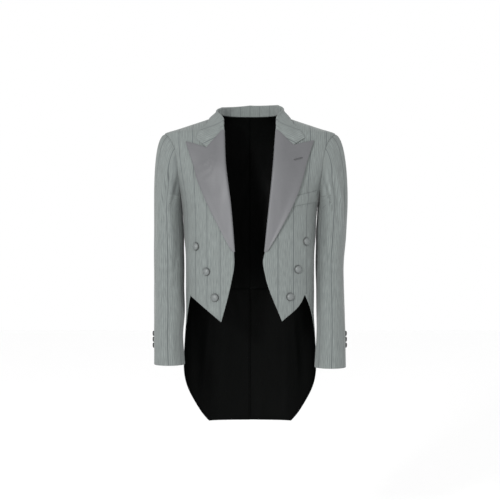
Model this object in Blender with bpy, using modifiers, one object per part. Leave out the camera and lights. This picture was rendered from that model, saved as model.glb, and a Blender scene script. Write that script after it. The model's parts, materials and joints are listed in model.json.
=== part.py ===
"""White tie tailcoat, worn open, as a hollow shell of cut cloth pieces.

Metres, +Z up, the front faces -Y and the wearer's left is +X. The origin is the point midway
between the two shoulder neck points, where the wearer holds the coat.

Places on the coat's body are given as a turn and a height. The turn is 0 degrees at the centre
back, 90 at the side and on the shoulder ridge, and 180 at the centre front, on either side.
Places round a sleeve are given as a turn too: 0 outward, 90 front, 180 inward and 270 back.
"""

import bmesh
import bpy
import numpy as np
from mathutils import Vector

RIGHT = -1
LEFT = 1
SIDE_NAMES = {RIGHT: "right", LEFT: "left"}

# Cloth, in metres
WALL = 0.0020
LAPEL_WALL = 0.0022
LINING_WALL = 0.0010
SEAM_GAP = 0.0003
LINING_GAP = 0.0011
LAID_GAP = 0.0004

# Lengths that drive the cut
SHOULDER_TIP_HEIGHT = -0.053
UNDERARM_HEIGHT = -0.235
WAIST_HEIGHT = -0.490
TAIL_HEM_HEIGHT = -0.873
SLEEVE_HEAD_END = -0.275
HEAD_FULLNESS = 0.45
HEAD_DROP = 0.9
HEAD_STEP = 0.01
# How the cloth of the sleeve head leaves the armhole: outward, forward and up
HEAD_LEAVES_TOP = np.array([1.0, 0.35, -0.35])
HEAD_LEAVES_FOOT = np.array([0.12, 0.35, -1.0])
VENT_LAP = 0.035
VENT_STAND_OFF = 0.0030
VENT_STAND_RISE = 0.035
VENT_STAND_TURNS = (4, 14)
VENT_TOP_DROP = 0.005

# How many cells of cloth lie along each stretch of the cut
NECKLINE_CELLS = 3
ROLL_CELLS = 9
FRONT_EDGE_CELLS = 4
ARMHOLE_STEP = 18
SIDE_SEAM_CELLS = 7
FOREPART_COLUMNS = 9
WAIST_COLUMNS = 3
SKIRT_FRONT_COLUMNS = 2
BACK_NECK_CELLS = 4
BACK_SHOULDER_CELLS = 5
BACK_TOP_FADE = 3
TAIL_CELLS = 9
SKIRT_COLUMNS = 8
GORGE_CELLS = 4
NOTCH_CELLS = 3
ARC_CELLS = 3
STAND_CELLS = 2
SLEEVE_HEAD_CELLS = 6
SLEEVE_TUBE_CELLS = 9
WELT_COLUMNS = 7

# The coat's body: level sections, each a rounded oblong
SECTION_COLUMNS = ("height", "half_width", "front_depth", "back_depth", "squareness")
SECTIONS = (
    (0.000, 0.078, 0.030, 0.062, 2.2),
    (-0.020, 0.138, 0.046, 0.077, 2.2),
    (-0.040, 0.198, 0.064, 0.088, 2.2),
    (-0.053, 0.2375, 0.074, 0.094, 2.3),
    (-0.065, 0.242, 0.081, 0.099, 2.3),
    (-0.100, 0.243, 0.097, 0.109, 2.3),
    (-0.150, 0.224, 0.117, 0.118, 2.4),
    (-0.235, 0.192, 0.129, 0.121, 2.4),
    (-0.262, 0.186, 0.130, 0.119, 2.4),
    (-0.330, 0.181, 0.129, 0.111, 2.4),
    (-0.430, 0.179, 0.123, 0.104, 2.4),
    (-0.490, 0.179, 0.121, 0.107, 2.4),
    (-0.560, 0.1785, 0.122, 0.120, 2.4),
    (-0.620, 0.1815, 0.122, 0.130, 2.4),
    (-0.700, 0.188, 0.122, 0.138, 2.5),
    (-0.780, 0.191, 0.122, 0.142, 2.6),
    (-0.880, 0.187, 0.122, 0.143, 2.6),
)

# The widest soft folds of the body. Columns: turn, height, reach in turn, reach in height, slant in
# degrees a metre, and depth, outwards where it is above nought
BODY_FOLDS = (
    (122, -0.150, 7, 0.060, 60, -0.0030),
    (112, -0.400, 9, 0.050, -80, 0.0030),
    (64, -0.400, 8, 0.060, 60, -0.0030),
    (46, -0.250, 8, 0.080, -50, 0.0030),
    (76, -0.650, 7, 0.110, 30, 0.0040),
    (59, -0.700, 7, 0.140, 20, -0.0045),
    (38, -0.740, 7, 0.150, 10, 0.0040),
)

# The armhole is an oval in turn and height. Two seams meet it under the arm
ARMHOLE_TURN_REACH = {"front": 18.0, "back": 17.0}
FOREPART_SEAM_START = 162
BACK_SEAM_START = 252
# Turn and height of two points of the neckline, between the shoulder and the roll line
NECK_SIDE = ((118.4, -0.022), (127.0, -0.035))

# Sleeves, each side as worn. Columns: height, outer and inner reach from the coat's centre line,
# depth of the middle and half the depth of the tube
SLEEVES = {
    RIGHT: (
        (-0.275, 0.2680, 0.1900, 0.000, 0.066),
        (-0.340, 0.2685, 0.1868, 0.003, 0.064),
        (-0.410, 0.2690, 0.1838, 0.006, 0.060),
        (-0.480, 0.2685, 0.1838, -0.003, 0.058),
        (-0.560, 0.2670, 0.1818, -0.020, 0.055),
        (-0.610, 0.2655, 0.1850, -0.032, 0.053),
        (-0.692, 0.2640, 0.1790, -0.052, 0.050),
    ),
    LEFT: (
        (-0.275, 0.2720, 0.1890, 0.000, 0.066),
        (-0.340, 0.2690, 0.1862, 0.003, 0.064),
        (-0.410, 0.2630, 0.1835, 0.006, 0.060),
        (-0.480, 0.2630, 0.1850, -0.003, 0.058),
        (-0.560, 0.2640, 0.1850, -0.020, 0.055),
        (-0.610, 0.2640, 0.1840, -0.032, 0.053),
        (-0.700, 0.2640, 0.1775, -0.052, 0.050),
    ),
}
SLEEVE_FOLDS = (
    (70, -0.300, 16, 0.050, 30, -0.0040),
    (105, -0.350, 14, 0.060, 20, 0.0035),
    (95, -0.450, 18, 0.030, 60, -0.0040),
    (130, -0.500, 16, 0.035, 50, 0.0035),
    (255, -0.440, 20, 0.040, 70, -0.0040),
    (20, -0.520, 18, 0.060, 15, -0.0025),
)
FRONT_SEAM_TURNS = (144, 130)
BACK_SEAM_TURNS = (252, 322)

# Front edge of each forepart, seen from the front, as the coat hangs open. Columns: height, and
# distance from the centre line
ROLL_LINES = {
    RIGHT: ((-0.051, 0.0722), (-0.142, 0.0676), (-0.263, 0.0528), (-0.383, 0.0431)),
    LEFT: ((-0.051, 0.0722), (-0.166, 0.0626), (-0.287, 0.0504), (-0.383, 0.0407)),
}
FRONT_EDGES = {
    RIGHT: ((-0.383, 0.0431), (-0.4165, 0.0423), (-0.4645, 0.0505), (-0.573, 0.0780)),
    LEFT: ((-0.383, 0.0407), (-0.4069, 0.0352), (-0.4453, 0.0408), (-0.571, 0.0867)),
}
FRONT_HEMS = {
    RIGHT: ((-0.573, 0.0780), (-0.538, 0.1210), (-0.503, 0.1640)),
    LEFT: ((-0.571, 0.0867), (-0.521, 0.1400), (-0.500, 0.1500)),
}

# Lapels and collar, seen from the front
NOTCHES = {RIGHT: (-0.0995, 0.1193), LEFT: (-0.0926, 0.1193)}
PEAKS = {RIGHT: (-0.081, 0.1750), LEFT: (-0.079, 0.1733)}
COLLAR_CORNERS = {RIGHT: (-0.0735, 0.1469), LEFT: (-0.0720, 0.1493)}
LAPEL_EDGES = {
    RIGHT: ((-0.081, 0.1750), (-0.172, 0.1477), (-0.3205, 0.0817), (-0.380, 0.0500)),
    LEFT: ((-0.079, 0.1733), (-0.194, 0.1377), (-0.262, 0.1107), (-0.330, 0.0767), (-0.380, 0.0480)),
}
ROLL_RADIUS = 0.0035
ROLL_FOOT_RADIUS = 0.0012
LAPEL_EDGE_REST = 0.0014
COLLAR_EDGE_REST = 0.0022
COLLAR_END_FADE = 8
FALL_POWER = 1.4
COLLAR_OUTER_COLUMNS = ("place", "turn", "height")
COLLAR_OUTER = ((0, 0, -0.0130), (2, 45, -0.0115), (4, 90, -0.0085), (5, 105.9, -0.0225), (6, 113.8, -0.0450))
# Columns: place along the neck and height of the stand
COLLAR_STANDS = {
    RIGHT: ((0, 0.030), (4, 0.022), (5, 0.015), (6, 0.007), (7, 0.0)),
    LEFT: ((0, 0.030), (4, 0.026), (5, 0.018), (6, 0.008), (7, 0.0)),
}

# Seams of the back, and the free front edge of the tails
FOREPART_SEAM_TURNS = (100.0, 103.0)
BACK_SEAM = ((-0.240, 60.0), (-0.330, 40.0), (-0.420, 27.0), (-0.490, 23.0))
TAIL_SEAM_TURNS = (23.0, 25.0)
TAIL_EDGE_TURNS = {
    RIGHT: ((-0.550, 103.0), (-0.620, 92.0), (-0.690, 82.0), (-0.750, 72.0), (-0.805, 61.0), (-0.845, 52.0)),
    LEFT: ((-0.545, 107.0), (-0.600, 96.0), (-0.690, 82.0), (-0.750, 72.0), (-0.805, 61.0), (-0.845, 52.0)),
}
TAIL_CORNER_TURN = 44.0
LINING_SETBACK = 0.3
LINING_VENT_TURN = 1.5
LINING_STRIP_COLUMNS = [7, 5, 0]

# Breast welt on the wearer's left, seen from the front: inner and outer end, top and bottom
WELT_TOP = ((-0.2325, 0.1235), (-0.2150, 0.1835))
WELT_BOTTOM = ((-0.2600, 0.1145), (-0.2430, 0.1815))
WELT_WALL = 0.0015
WELT_GAP = 0.0006

# Buttons: width and height, and where each stands
FRONT_BUTTON = (0.0230, 0.0080)
CUFF_BUTTON = (0.0150, 0.0055)
BACK_BUTTON = (0.0230, 0.0080)
FRONT_BUTTON_PLACES = {
    RIGHT: ((-0.368, 0.1460), (-0.437, 0.1190), (-0.507, 0.0950)),
    LEFT: ((-0.3546, 0.1520), (-0.4305, 0.1300), (-0.505, 0.1085)),
}
CUFF_BUTTON_HEIGHTS = (-0.610, -0.626, -0.642)
CUFF_BUTTON_TURN = -16
# Half a button's outline, as shares of its half width and of its height
BUTTON_OUTLINE = ((0, 1), (0.42, 0.93), (0.76, 0.66), (0.96, 0.30), (1, 0.12), (0.88, 0), (0, 0))
BUTTON_STEPS = 16
BUTTON_SEAT = 0.0003
BACK_BUTTON_TURN = 21
BACK_BUTTON_HEIGHT = -0.474

GREY_CLOTH = (0.214, 0.235, 0.235)
SATIN = (0.262, 0.270, 0.283)
BLACK_LINING = (0.004, 0.005, 0.004)
BUTTON_CLOTH = (0.225, 0.238, 0.238)
CUFF_BUTTON_BLACK = (0.012, 0.013, 0.013)


def clear_scene():
    for obj in list(bpy.data.objects):
        bpy.data.objects.remove(obj, do_unlink=True)


def finish(name, colour, roughness):
    material = bpy.data.materials.new(name)
    material.use_nodes = True
    shader = material.node_tree.nodes["Principled BSDF"]
    shader.inputs["Base Color"].default_value = (*colour, 1)
    shader.inputs["Roughness"].default_value = roughness
    shader.inputs["Metallic"].default_value = 0
    return material


def smooth(at, places, values):
    """Cubic curve through the values, its slope at each taken from the values beside it."""
    places = np.asarray(places, float)
    values = np.asarray(values, float)
    if places[0] > places[-1]:
        places = places[::-1]
        values = values[::-1]
    slopes = np.gradient(values, places, axis=0)
    at = np.clip(np.asarray(at, float), places[0], places[-1])
    row = np.clip(np.searchsorted(places, at) - 1, 0, len(places) - 2)
    width = places[row + 1] - places[row]
    share = (at - places[row]) / width
    start = (1 + 2 * share) * (1 - share) ** 2
    leave = share * (1 - share) ** 2 * width
    arrive = share**2 * (share - 1) * width
    if values.ndim == 2:
        start, leave, arrive = start[..., None], leave[..., None], arrive[..., None]
    between = start * values[row] + (1 - start) * values[row + 1]
    return between + leave * slopes[row] + arrive * slopes[row + 1]


def ease(share):
    """0 to 1 with level ends."""
    share = np.clip(share, 0, 1)
    return share * share * (3 - 2 * share)


def unit(vectors):
    return vectors / np.linalg.norm(vectors, axis=-1, keepdims=True)


def column(table, names, name):
    return [row[names.index(name)] for row in table]


def folds(table, turn, height):
    """Sum of soft troughs and ridges, each a bell on a slanted oval in turn and height."""
    total = np.zeros(np.broadcast(turn, height).shape)
    for fold_turn, fold_height, turn_reach, height_reach, slant, depth in table:
        across = (turn - fold_turn - slant * (height - fold_height)) / turn_reach
        along = (height - fold_height) / height_reach
        total = total + depth * np.exp(-(across**2) - along**2)
    return total


def body(side, turn, height):
    """Point of the coat's outer surface: a rounded oblong at each height, with its folds."""
    turn, height = np.broadcast_arrays(np.asarray(turn, float), np.asarray(height, float))
    heights = column(SECTIONS, SECTION_COLUMNS, "height")
    shape = smooth(height, heights, [row[1:] for row in SECTIONS])
    width, front, back, power = np.moveaxis(shape, -1, 0)
    depth = np.where(turn > 90, front, back)
    angle = np.radians(turn)
    reach = (np.abs(np.cos(angle) / depth) ** power + np.abs(np.sin(angle) / width) ** power) ** (-1 / power)
    reach = reach + folds(BODY_FOLDS, turn, height)
    return np.stack([side * reach * np.sin(angle), reach * np.cos(angle), height], -1)


def body_normal(side, turn, height):
    """Unit vector out of the cloth, from small steps of turn and of height."""
    turn = np.asarray(turn, float)
    height = np.asarray(height, float)
    by_turn = body(side, turn + 0.1, height) - body(side, turn - 0.1, height)
    by_height = body(side, turn, height + 0.0005) - body(side, turn, height - 0.0005)
    return unit(np.cross(by_height, by_turn)) * side


def turn_at(height, from_centre):
    """The turn of a point on the front that lies this far from the centre line."""
    heights = column(SECTIONS, SECTION_COLUMNS, "height")
    width, front, _, power = smooth(np.asarray(height, float), heights, [row[1:] for row in SECTIONS]).T
    depth = front * (1 - np.abs(from_centre / width) ** power) ** (1 / power)
    return np.degrees(np.arctan2(from_centre, -depth))


def front_curve(table, cells):
    """Evenly spaced (turn, height) points along a front edge given as heights and distances."""
    table = np.array(table)
    walked = np.concatenate([[0], np.cumsum(np.linalg.norm(np.diff(table, axis=0), axis=1))])
    points = smooth(np.linspace(0, walked[-1], cells + 1), walked, table)
    return np.stack([turn_at(points[:, 0], points[:, 1]), points[:, 0]], -1)


def straight(start, end, cells):
    return np.linspace(start, end, cells + 1)


def armhole(turns):
    """(turn, height) on the body of points round the armhole, 0 at the shoulder tip and 90 in front."""
    angle = np.radians(turns)
    middle = (SHOULDER_TIP_HEIGHT + UNDERARM_HEIGHT) / 2
    half_height = (SHOULDER_TIP_HEIGHT - UNDERARM_HEIGHT) / 2
    reach = np.where(np.sin(angle) > 0, ARMHOLE_TURN_REACH["front"], ARMHOLE_TURN_REACH["back"])
    return np.stack([90 + reach * np.sin(angle), middle + half_height * np.cos(angle)], -1)


def patch(first, last, top, bottom, top_fade=1, bottom_fade=1):
    """Grid between four edges: ruled from side to side, plus how far the top and the bottom edges
    bend away from straight, each fading towards the other."""
    down = np.linspace(0, 1, len(first))[:, None, None]
    across = np.linspace(0, 1, len(top))[:, None]
    ruled = (1 - across) * first[:, None] + across * last[:, None]
    top_bend = top - ((1 - across) * top[0] + across * top[-1])
    bottom_bend = bottom - ((1 - across) * bottom[0] + across * bottom[-1])
    return ruled + (1 - down) ** top_fade * top_bend + down**bottom_fade * bottom_bend


def joined(*stretches):
    """Stretches of points end to end, each shared point kept once."""
    return np.concatenate([stretches[0]] + [stretch[1:] for stretch in stretches[1:]])


def square_to(edge, beside):
    """Unit vectors from an edge towards the points beside it, square to the edge."""
    along = unit(np.gradient(edge, axis=0))
    inward = beside - edge
    return unit(inward - np.sum(inward * along, axis=-1, keepdims=True) * along)


def inset(points, outer, gap):
    """Draws each edge of a grid in by a gap, the way the wall's outer face runs there."""
    shift = np.zeros_like(points)
    shift[0] += gap * square_to(outer[0], outer[1])
    shift[-1] += gap * square_to(outer[-1], outer[-2])
    shift[:, 0] += gap * square_to(outer[:, 0], outer[:, 1])
    shift[:, -1] += gap * square_to(outer[:, -1], outer[:, -2])
    return points + shift


def wall(name, outer, inner, material, collection):
    """Closed wall of cloth between two matching grids of points, drawn in by half a seam gap.

    Each cell is cut in two along its shorter diagonal, the same one on both faces of the wall.
    """
    outer, inner = inset(outer, outer, SEAM_GAP / 2), inset(inner, outer, SEAM_GAP / 2)
    rows, columns = outer.shape[:2]
    number = np.arange(rows * columns).reshape(rows, columns)
    cells = np.stack([number[:-1, :-1], number[1:, :-1], number[1:, 1:], number[:-1, 1:]], -1).reshape(-1, 4)
    loop = np.concatenate([number[0, :-1], number[:-1, -1], number[-1, :0:-1], number[:0:-1, 0]])
    ahead = np.roll(loop, -1)
    rim = np.stack([loop, ahead, ahead + number.size, loop + number.size], -1)
    corners = outer.reshape(-1, 3)[cells]
    diagonals = np.linalg.norm(corners[:, :2] - corners[:, 2:], axis=-1)
    turned = np.where(diagonals[:, :1] <= diagonals[:, 1:], cells, np.roll(cells, -1, axis=1))
    faces = np.concatenate([turned, turned[:, [0, 3, 2, 1]] + number.size, rim])
    faces = np.concatenate([faces[:, [0, 1, 2]], faces[:, [0, 2, 3]]])
    mesh = bpy.data.meshes.new(name)
    mesh.from_pydata(np.concatenate([outer, inner]).reshape(-1, 3).tolist(), [], faces.tolist())
    shell = bmesh.new()
    shell.from_mesh(mesh)
    bmesh.ops.recalc_face_normals(shell, faces=shell.faces)
    shell.to_mesh(mesh)
    shell.free()
    mesh.shade_smooth()
    mesh.set_sharp_from_angle(angle=np.radians(50))
    mesh.materials.append(material)
    obj = bpy.data.objects.new(name, mesh)
    collection.objects.link(obj)
    return obj


def body_wall(name, side, grid, material, collection, outside=0.0, thickness=WALL):
    """Wall on the body's surface: its outer face lies this far outside the coat's own."""
    turn, height = grid[..., 0], grid[..., 1]
    normal = body_normal(side, turn, height)
    outer = body(side, turn, height) + normal * np.asarray(outside)[..., None]
    return wall(name, outer, outer - normal * thickness, material, collection)


def armhole_turns(start, end):
    return np.arange(start, end + ARMHOLE_STEP / 2, ARMHOLE_STEP)


def neckline(side):
    """(turn, height) from the shoulder neck point down the side of the neck to the roll line."""
    height, from_centre = ROLL_LINES[side][0]
    end = (turn_at(height, from_centre), height)
    curve = np.array([(90.0, 0.0), *NECK_SIDE, end])
    places = np.arange(len(curve))
    return smooth(np.linspace(0, len(curve) - 1, NECKLINE_CELLS + 1), places, curve)


def forepart_seam(side):
    start = armhole(np.array([float(FOREPART_SEAM_START)]))[0]
    low = (FOREPART_SEAM_TURNS[1], WAIST_HEIGHT)
    middle = (FOREPART_SEAM_TURNS[0], (start[1] + WAIST_HEIGHT) / 2)
    return smooth(np.linspace(0, 2, SIDE_SEAM_CELLS + 1), [0, 1, 2], [start, middle, low])


def back_seam():
    start = armhole(np.array([float(BACK_SEAM_START)]))[0]
    table = np.array([start] + [(turn, height) for height, turn in BACK_SEAM])
    walked = np.arange(len(table))
    return smooth(np.linspace(0, len(table) - 1, SIDE_SEAM_CELLS + 1), walked, table)


def tail_seam():
    start = (TAIL_SEAM_TURNS[0], WAIST_HEIGHT)
    return straight(start, (TAIL_SEAM_TURNS[1], TAIL_HEM_HEIGHT), TAIL_CELLS)


def forepart(side, material, collection):
    """Front: neckline, roll line and front edge on one side, armhole and side seam on the other."""
    edge = joined(
        neckline(side),
        front_curve(ROLL_LINES[side], ROLL_CELLS),
        front_curve(FRONT_EDGES[side], FRONT_EDGE_CELLS),
    )
    outer_edge = joined(armhole(armhole_turns(0, FOREPART_SEAM_START)), forepart_seam(side))
    hem = front_curve(FRONT_HEMS[side], FOREPART_COLUMNS - WAIST_COLUMNS)
    bottom = joined(hem, straight(hem[-1], outer_edge[-1], WAIST_COLUMNS))
    top = straight(edge[0], outer_edge[0], FOREPART_COLUMNS)
    grid = patch(edge, outer_edge, top, bottom)
    body_wall(f"forepart_{SIDE_NAMES[side]}", side, grid, material, collection)


def sidebody(side, material, collection):
    """Panel under the arm, from the armhole down to the waist seam."""
    top = armhole(armhole_turns(FOREPART_SEAM_START, BACK_SEAM_START))
    front, back = forepart_seam(side), back_seam()
    bottom = straight(front[-1], back[-1], len(top) - 1)
    body_wall(f"sidebody_{SIDE_NAMES[side]}", side, patch(front, back, top, bottom), material, collection)


def vent_stand_off(side, turn, height):
    """How far the wearer's left tail stands out, so that it laps over the right one."""
    if side == RIGHT:
        return np.zeros(np.shape(turn))
    below = ease((WAIST_HEIGHT + VENT_STAND_RISE - height) / VENT_STAND_RISE)
    near = 1 - ease((turn - VENT_STAND_TURNS[0]) / (VENT_STAND_TURNS[1] - VENT_STAND_TURNS[0]))
    return VENT_STAND_OFF * below * near


def centre_seam(side):
    """(turn, height) down the centre back: a seam to the waist, then the edge of the vent."""
    cells = len(armhole_turns(BACK_SEAM_START, 360)) - 1 + SIDE_SEAM_CELLS
    above = straight((0.0, 0.0), (0.0, WAIST_HEIGHT), cells)
    lap_turn = -np.degrees(VENT_LAP / SECTIONS[-1][3]) if side == LEFT else 0.0
    vent_top = (lap_turn, WAIST_HEIGHT - VENT_TOP_DROP)
    below = straight(vent_top, (lap_turn, TAIL_HEM_HEIGHT), TAIL_CELLS - 1)
    return np.concatenate([above, below])


def back_grid(side):
    """Back from the shoulder to the tail hem, with its strip of the tail."""
    centre = centre_seam(side)
    outer_edge = joined(armhole(armhole_turns(BACK_SEAM_START, 360)[::-1]), back_seam(), tail_seam())
    neck_point = (90.0, 0.0)
    neck = straight(centre[0], neck_point, BACK_NECK_CELLS)
    top = joined(neck, straight(neck_point, outer_edge[0], BACK_SHOULDER_CELLS))
    bottom = straight(centre[-1], outer_edge[-1], len(top) - 1)
    return patch(centre, outer_edge, top, bottom, top_fade=BACK_TOP_FADE)


def tail_edge(side):
    """(turn, height) down the free front edge of a tail, from the waist seam to its lower corner."""
    height, from_centre = FRONT_HEMS[side][-1]
    table = [(turn_at(height, from_centre), height)]
    table += [(turn, edge_height) for edge_height, turn in TAIL_EDGE_TURNS[side]]
    table += [(TAIL_CORNER_TURN, TAIL_HEM_HEIGHT)]
    places = np.arange(len(table))
    return smooth(np.linspace(0, len(table) - 1, TAIL_CELLS + 1), places, np.array(table))


def waist_seam(side):
    """(turn, height) from the free front edge of the tail to the strip of the back."""
    side_columns = SKIRT_COLUMNS - SKIRT_FRONT_COLUMNS
    height, from_centre = FRONT_HEMS[side][-1]
    start = (turn_at(height, from_centre), height)
    return joined(
        straight(start, (FOREPART_SEAM_TURNS[1], WAIST_HEIGHT), SKIRT_FRONT_COLUMNS),
        straight((FOREPART_SEAM_TURNS[1], WAIST_HEIGHT), (TAIL_SEAM_TURNS[0], WAIST_HEIGHT), side_columns),
    )


def skirt_grid(side):
    """Side of the tail, from the waist seam to the hem."""
    front, seam = tail_edge(side), tail_seam()
    return patch(front, seam, waist_seam(side), straight(front[-1], seam[-1], SKIRT_COLUMNS))


def back_and_tail(side, cloth, lining, collection):
    """Back, side of the tail, and the lining inside both, held back from the tail's free edges."""
    name = SIDE_NAMES[side]
    centre, skirt = back_grid(side), skirt_grid(side)
    for piece, grid in (("back", centre), ("skirt", skirt)):
        outside = vent_stand_off(side, grid[..., 0], grid[..., 1])
        body_wall(f"{piece}_{name}", side, grid, cloth, collection, outside=outside)
    strip = centre[-len(skirt) :, LINING_STRIP_COLUMNS]
    strip[:, -1, 0] = np.maximum(strip[:, -1, 0], 0) + LINING_VENT_TURN
    lined = np.concatenate([skirt, strip], axis=1)
    lined[:, 0] += LINING_SETBACK * (lined[:, 1] - lined[:, 0])
    lined[-1] += LINING_SETBACK * (lined[-2] - lined[-1])
    inside = vent_stand_off(side, lined[..., 0], lined[..., 1]) - WALL - LINING_GAP
    body_wall(f"tail_lining_{name}", side, lined, lining, collection, outside=inside, thickness=LINING_WALL)


def sleeve(side, turn, run):
    """Point of a sleeve: run 0 to 1 is the head, from the armhole, and 1 to 2 the tube to the cuff."""
    turn, run = np.broadcast_arrays(np.asarray(turn, float), np.asarray(run, float))
    angle = np.radians(turn)

    def ring(height):
        shape = smooth(height, [row[0] for row in SLEEVES[side]], [row[1:] for row in SLEEVES[side]])
        outer, inner, centre, half_depth = np.moveaxis(shape, -1, 0)
        swell = folds(SLEEVE_FOLDS, turn % 360, height)
        across = (outer + inner) / 2 + ((outer - inner) / 2 + swell) * np.cos(angle)
        return np.stack([side * across, centre - (half_depth + swell) * np.sin(angle), height], -1)

    cuff = SLEEVES[side][-1][0]
    height = SLEEVE_HEAD_END + (cuff - SLEEVE_HEAD_END) * np.clip(run - 1, 0, 1)
    tube = ring(height)
    end = ring(np.full(turn.shape, SLEEVE_HEAD_END))
    down = unit(ring(np.full(turn.shape, SLEEVE_HEAD_END - HEAD_STEP)) - end)
    place = armhole(turn)
    hole = body(side, place[..., 0], place[..., 1])
    top = np.cos(angle / 2)[..., None] ** 2
    outward, forward, up = np.moveaxis(top * HEAD_LEAVES_TOP + (1 - top) * HEAD_LEAVES_FOOT, -1, 0)
    leave = unit(np.stack([side * outward, -forward * np.sin(angle), up], -1))
    start = hole + SEAM_GAP * unit(leave + body_normal(side, place[..., 0], place[..., 1]))
    length = np.linalg.norm(end - start, axis=-1, keepdims=True)
    share = np.clip(run, 0, 1)[..., None]
    head = (
        (1 + 2 * share) * (1 - share) ** 2 * start
        + share * (1 - share) ** 2 * length * HEAD_FULLNESS * leave
        + share**2 * (3 - 2 * share) * end
        + share**2 * (share - 1) * length * HEAD_DROP * down
    )
    return np.where(run[..., None] < 1, head, tube)


def sleeve_normal(side, turn, run):
    by_turn = sleeve(side, turn + 0.1, run) - sleeve(side, turn - 0.1, run)
    step = 0.002
    by_run = sleeve(side, turn, run + step) - sleeve(side, turn, np.maximum(run - step, 0))
    return unit(np.cross(by_run, by_turn)) * -side


def sleeve_piece(name, side, turns, material, collection):
    """Length of a sleeve between two seams, whose turns change evenly from armhole to cuff."""
    head = np.linspace(0, 1, SLEEVE_HEAD_CELLS + 1)
    run = joined(head, np.linspace(1, 2, SLEEVE_TUBE_CELLS + 1))[:, None]
    (first_top, first_low), (last_top, last_low) = turns
    share = np.linspace(0, 1, round((last_top - first_top) / ARMHOLE_STEP) + 1)[None]
    first = first_top + (first_low - first_top) * run / 2
    last = last_top + (last_low - last_top) * run / 2
    turn = first + (last - first) * share
    run = np.broadcast_to(run, turn.shape)
    outer = sleeve(side, turn, run)
    wall(name, outer, outer - WALL * sleeve_normal(side, turn, run), material, collection)


def edge_frames(side):
    """Along the coat's edge from centre back round the neck and down the roll line: its points,
    the way out of the cloth, the way across it from the edge, and where the turned cloth starts."""
    neck = straight((0.0, 0.0), (90.0, 0.0), BACK_NECK_CELLS)
    places = joined(neck, neckline(side), front_curve(ROLL_LINES[side], ROLL_CELLS))
    points = body(side, places[:, 0], places[:, 1])
    mirrored = points[1:2] * (-1, 1, 1)
    ahead = np.gradient(np.concatenate([mirrored, points]), axis=0)[1:]
    normal = body_normal(side, places[:, 0], places[:, 1])
    upright = ease((BACK_NECK_CELLS + NECKLINE_CELLS - np.arange(len(places))) / NECKLINE_CELLS)[:, None]
    rise = unit(normal * (1 - upright) + np.array([0, 0, 1.0]) * upright)
    across = unit(np.cross(ahead, rise)) * -side
    foot = -WALL + (WALL + 2 * SEAM_GAP) * upright[:, 0]
    return places, points, rise, across, foot


def turned_wall(side, base, frames, stand, roll, rest):
    """Cloth that leaves an edge of the coat, rises, turns over in a round fold and lies down.

    Each row crosses the edge: it climbs the stand, follows a quarter circle of the fold's radius,
    and then keeps a height above the coat's surface that falls from the fold to the free edge.
    """
    _, points, rise, across, foot = frames
    climb = np.linspace(0, 1, STAND_CELLS + 1)[:-1]
    angles = np.radians(np.linspace(180, 90, ARC_CELLS + 1))[:-1]
    shares = np.linspace(0, 1, base.shape[1])
    faces = []
    for thickness in (LAPEL_WALL, 0.0):
        rows = []
        for place, point, up, over, low, height, radius in zip(base, points, rise, across, foot, stand, roll):
            start = point - over * (SEAM_GAP + thickness)
            stand_points = [start + up * (low + share * (height - low)) for share in climb]
            centre = point + over * (radius - SEAM_GAP) + up * height
            reach = radius + thickness
            arc_points = [centre + reach * (np.cos(turn) * over + np.sin(turn) * up) for turn in angles]
            ground = body(side, place[:, 0], place[:, 1])
            normal = body_normal(side, place[:, 0], place[:, 1])
            settle = ease(shares * 2)[:, None]
            lean = unit(up * (1 - settle) + normal * settle)
            clear = rest + (height + radius - rest) * (1 - shares**FALL_POWER)
            shift = (radius - SEAM_GAP) * (1 - shares)[:, None] ** 2 * over
            fall = ground + (clear + thickness)[:, None] * lean + shift
            rows.append(np.array([*stand_points, *arc_points, *fall]))
        faces.append(np.array(rows))
    return faces


def gorge(side, end, cells):
    """(turn, height) from the top of the roll line to the notch and on to a point beyond it."""
    roll_height, roll_reach = ROLL_LINES[side][0]
    notch_height, notch_reach = NOTCHES[side]
    end_height, end_reach = end
    start = np.array((turn_at(roll_height, roll_reach), roll_height))
    notch = np.array((turn_at(notch_height, notch_reach), notch_height))
    point = np.array((turn_at(end_height, end_reach), end_height))
    return joined(straight(start, notch, GORGE_CELLS), straight(notch, point, cells))


def lapel(side, material, collection):
    """Satin-faced lapel, turned back from the roll line, with its peak at the top."""
    frames = [values[BACK_NECK_CELLS + NECKLINE_CELLS :] for values in edge_frames(side)]
    roll_line = frames[0]
    outer_edge = front_curve(LAPEL_EDGES[side], ROLL_CELLS)
    top = gorge(side, PEAKS[side], NOTCH_CELLS)
    bottom = straight(roll_line[-1], outer_edge[-1], len(top) - 1)
    base = patch(roll_line, outer_edge, top, bottom)
    down = np.linspace(0, 1, len(roll_line))
    roll = ROLL_RADIUS + (ROLL_FOOT_RADIUS - ROLL_RADIUS) * down**3
    outer, inner = turned_wall(side, base, frames, 0 * down, roll, LAPEL_EDGE_REST)
    wall(f"lapel_{SIDE_NAMES[side]}", outer, inner, material, collection)


def collar_half(side):
    frames = [values[: BACK_NECK_CELLS + NECKLINE_CELLS + 1] for values in edge_frames(side)]
    neck = frames[0]
    end = gorge(side, COLLAR_CORNERS[side], NOTCH_CELLS)
    places = column(COLLAR_OUTER, COLLAR_OUTER_COLUMNS, "place") + [len(neck) - 1]
    points = np.array([row[1:] for row in COLLAR_OUTER] + [tuple(end[-1])])
    outer_edge = smooth(np.arange(len(neck)), places, points)
    top = straight(neck[0], outer_edge[0], len(end) - 1)
    base = patch(neck, outer_edge, top, end, bottom_fade=COLLAR_END_FADE)
    stand_places, stand_heights = zip(*COLLAR_STANDS[side])
    stand = smooth(np.arange(len(neck)), stand_places, stand_heights)
    return turned_wall(side, base, frames, stand, np.full(len(neck), ROLL_RADIUS), COLLAR_EDGE_REST)


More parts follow.
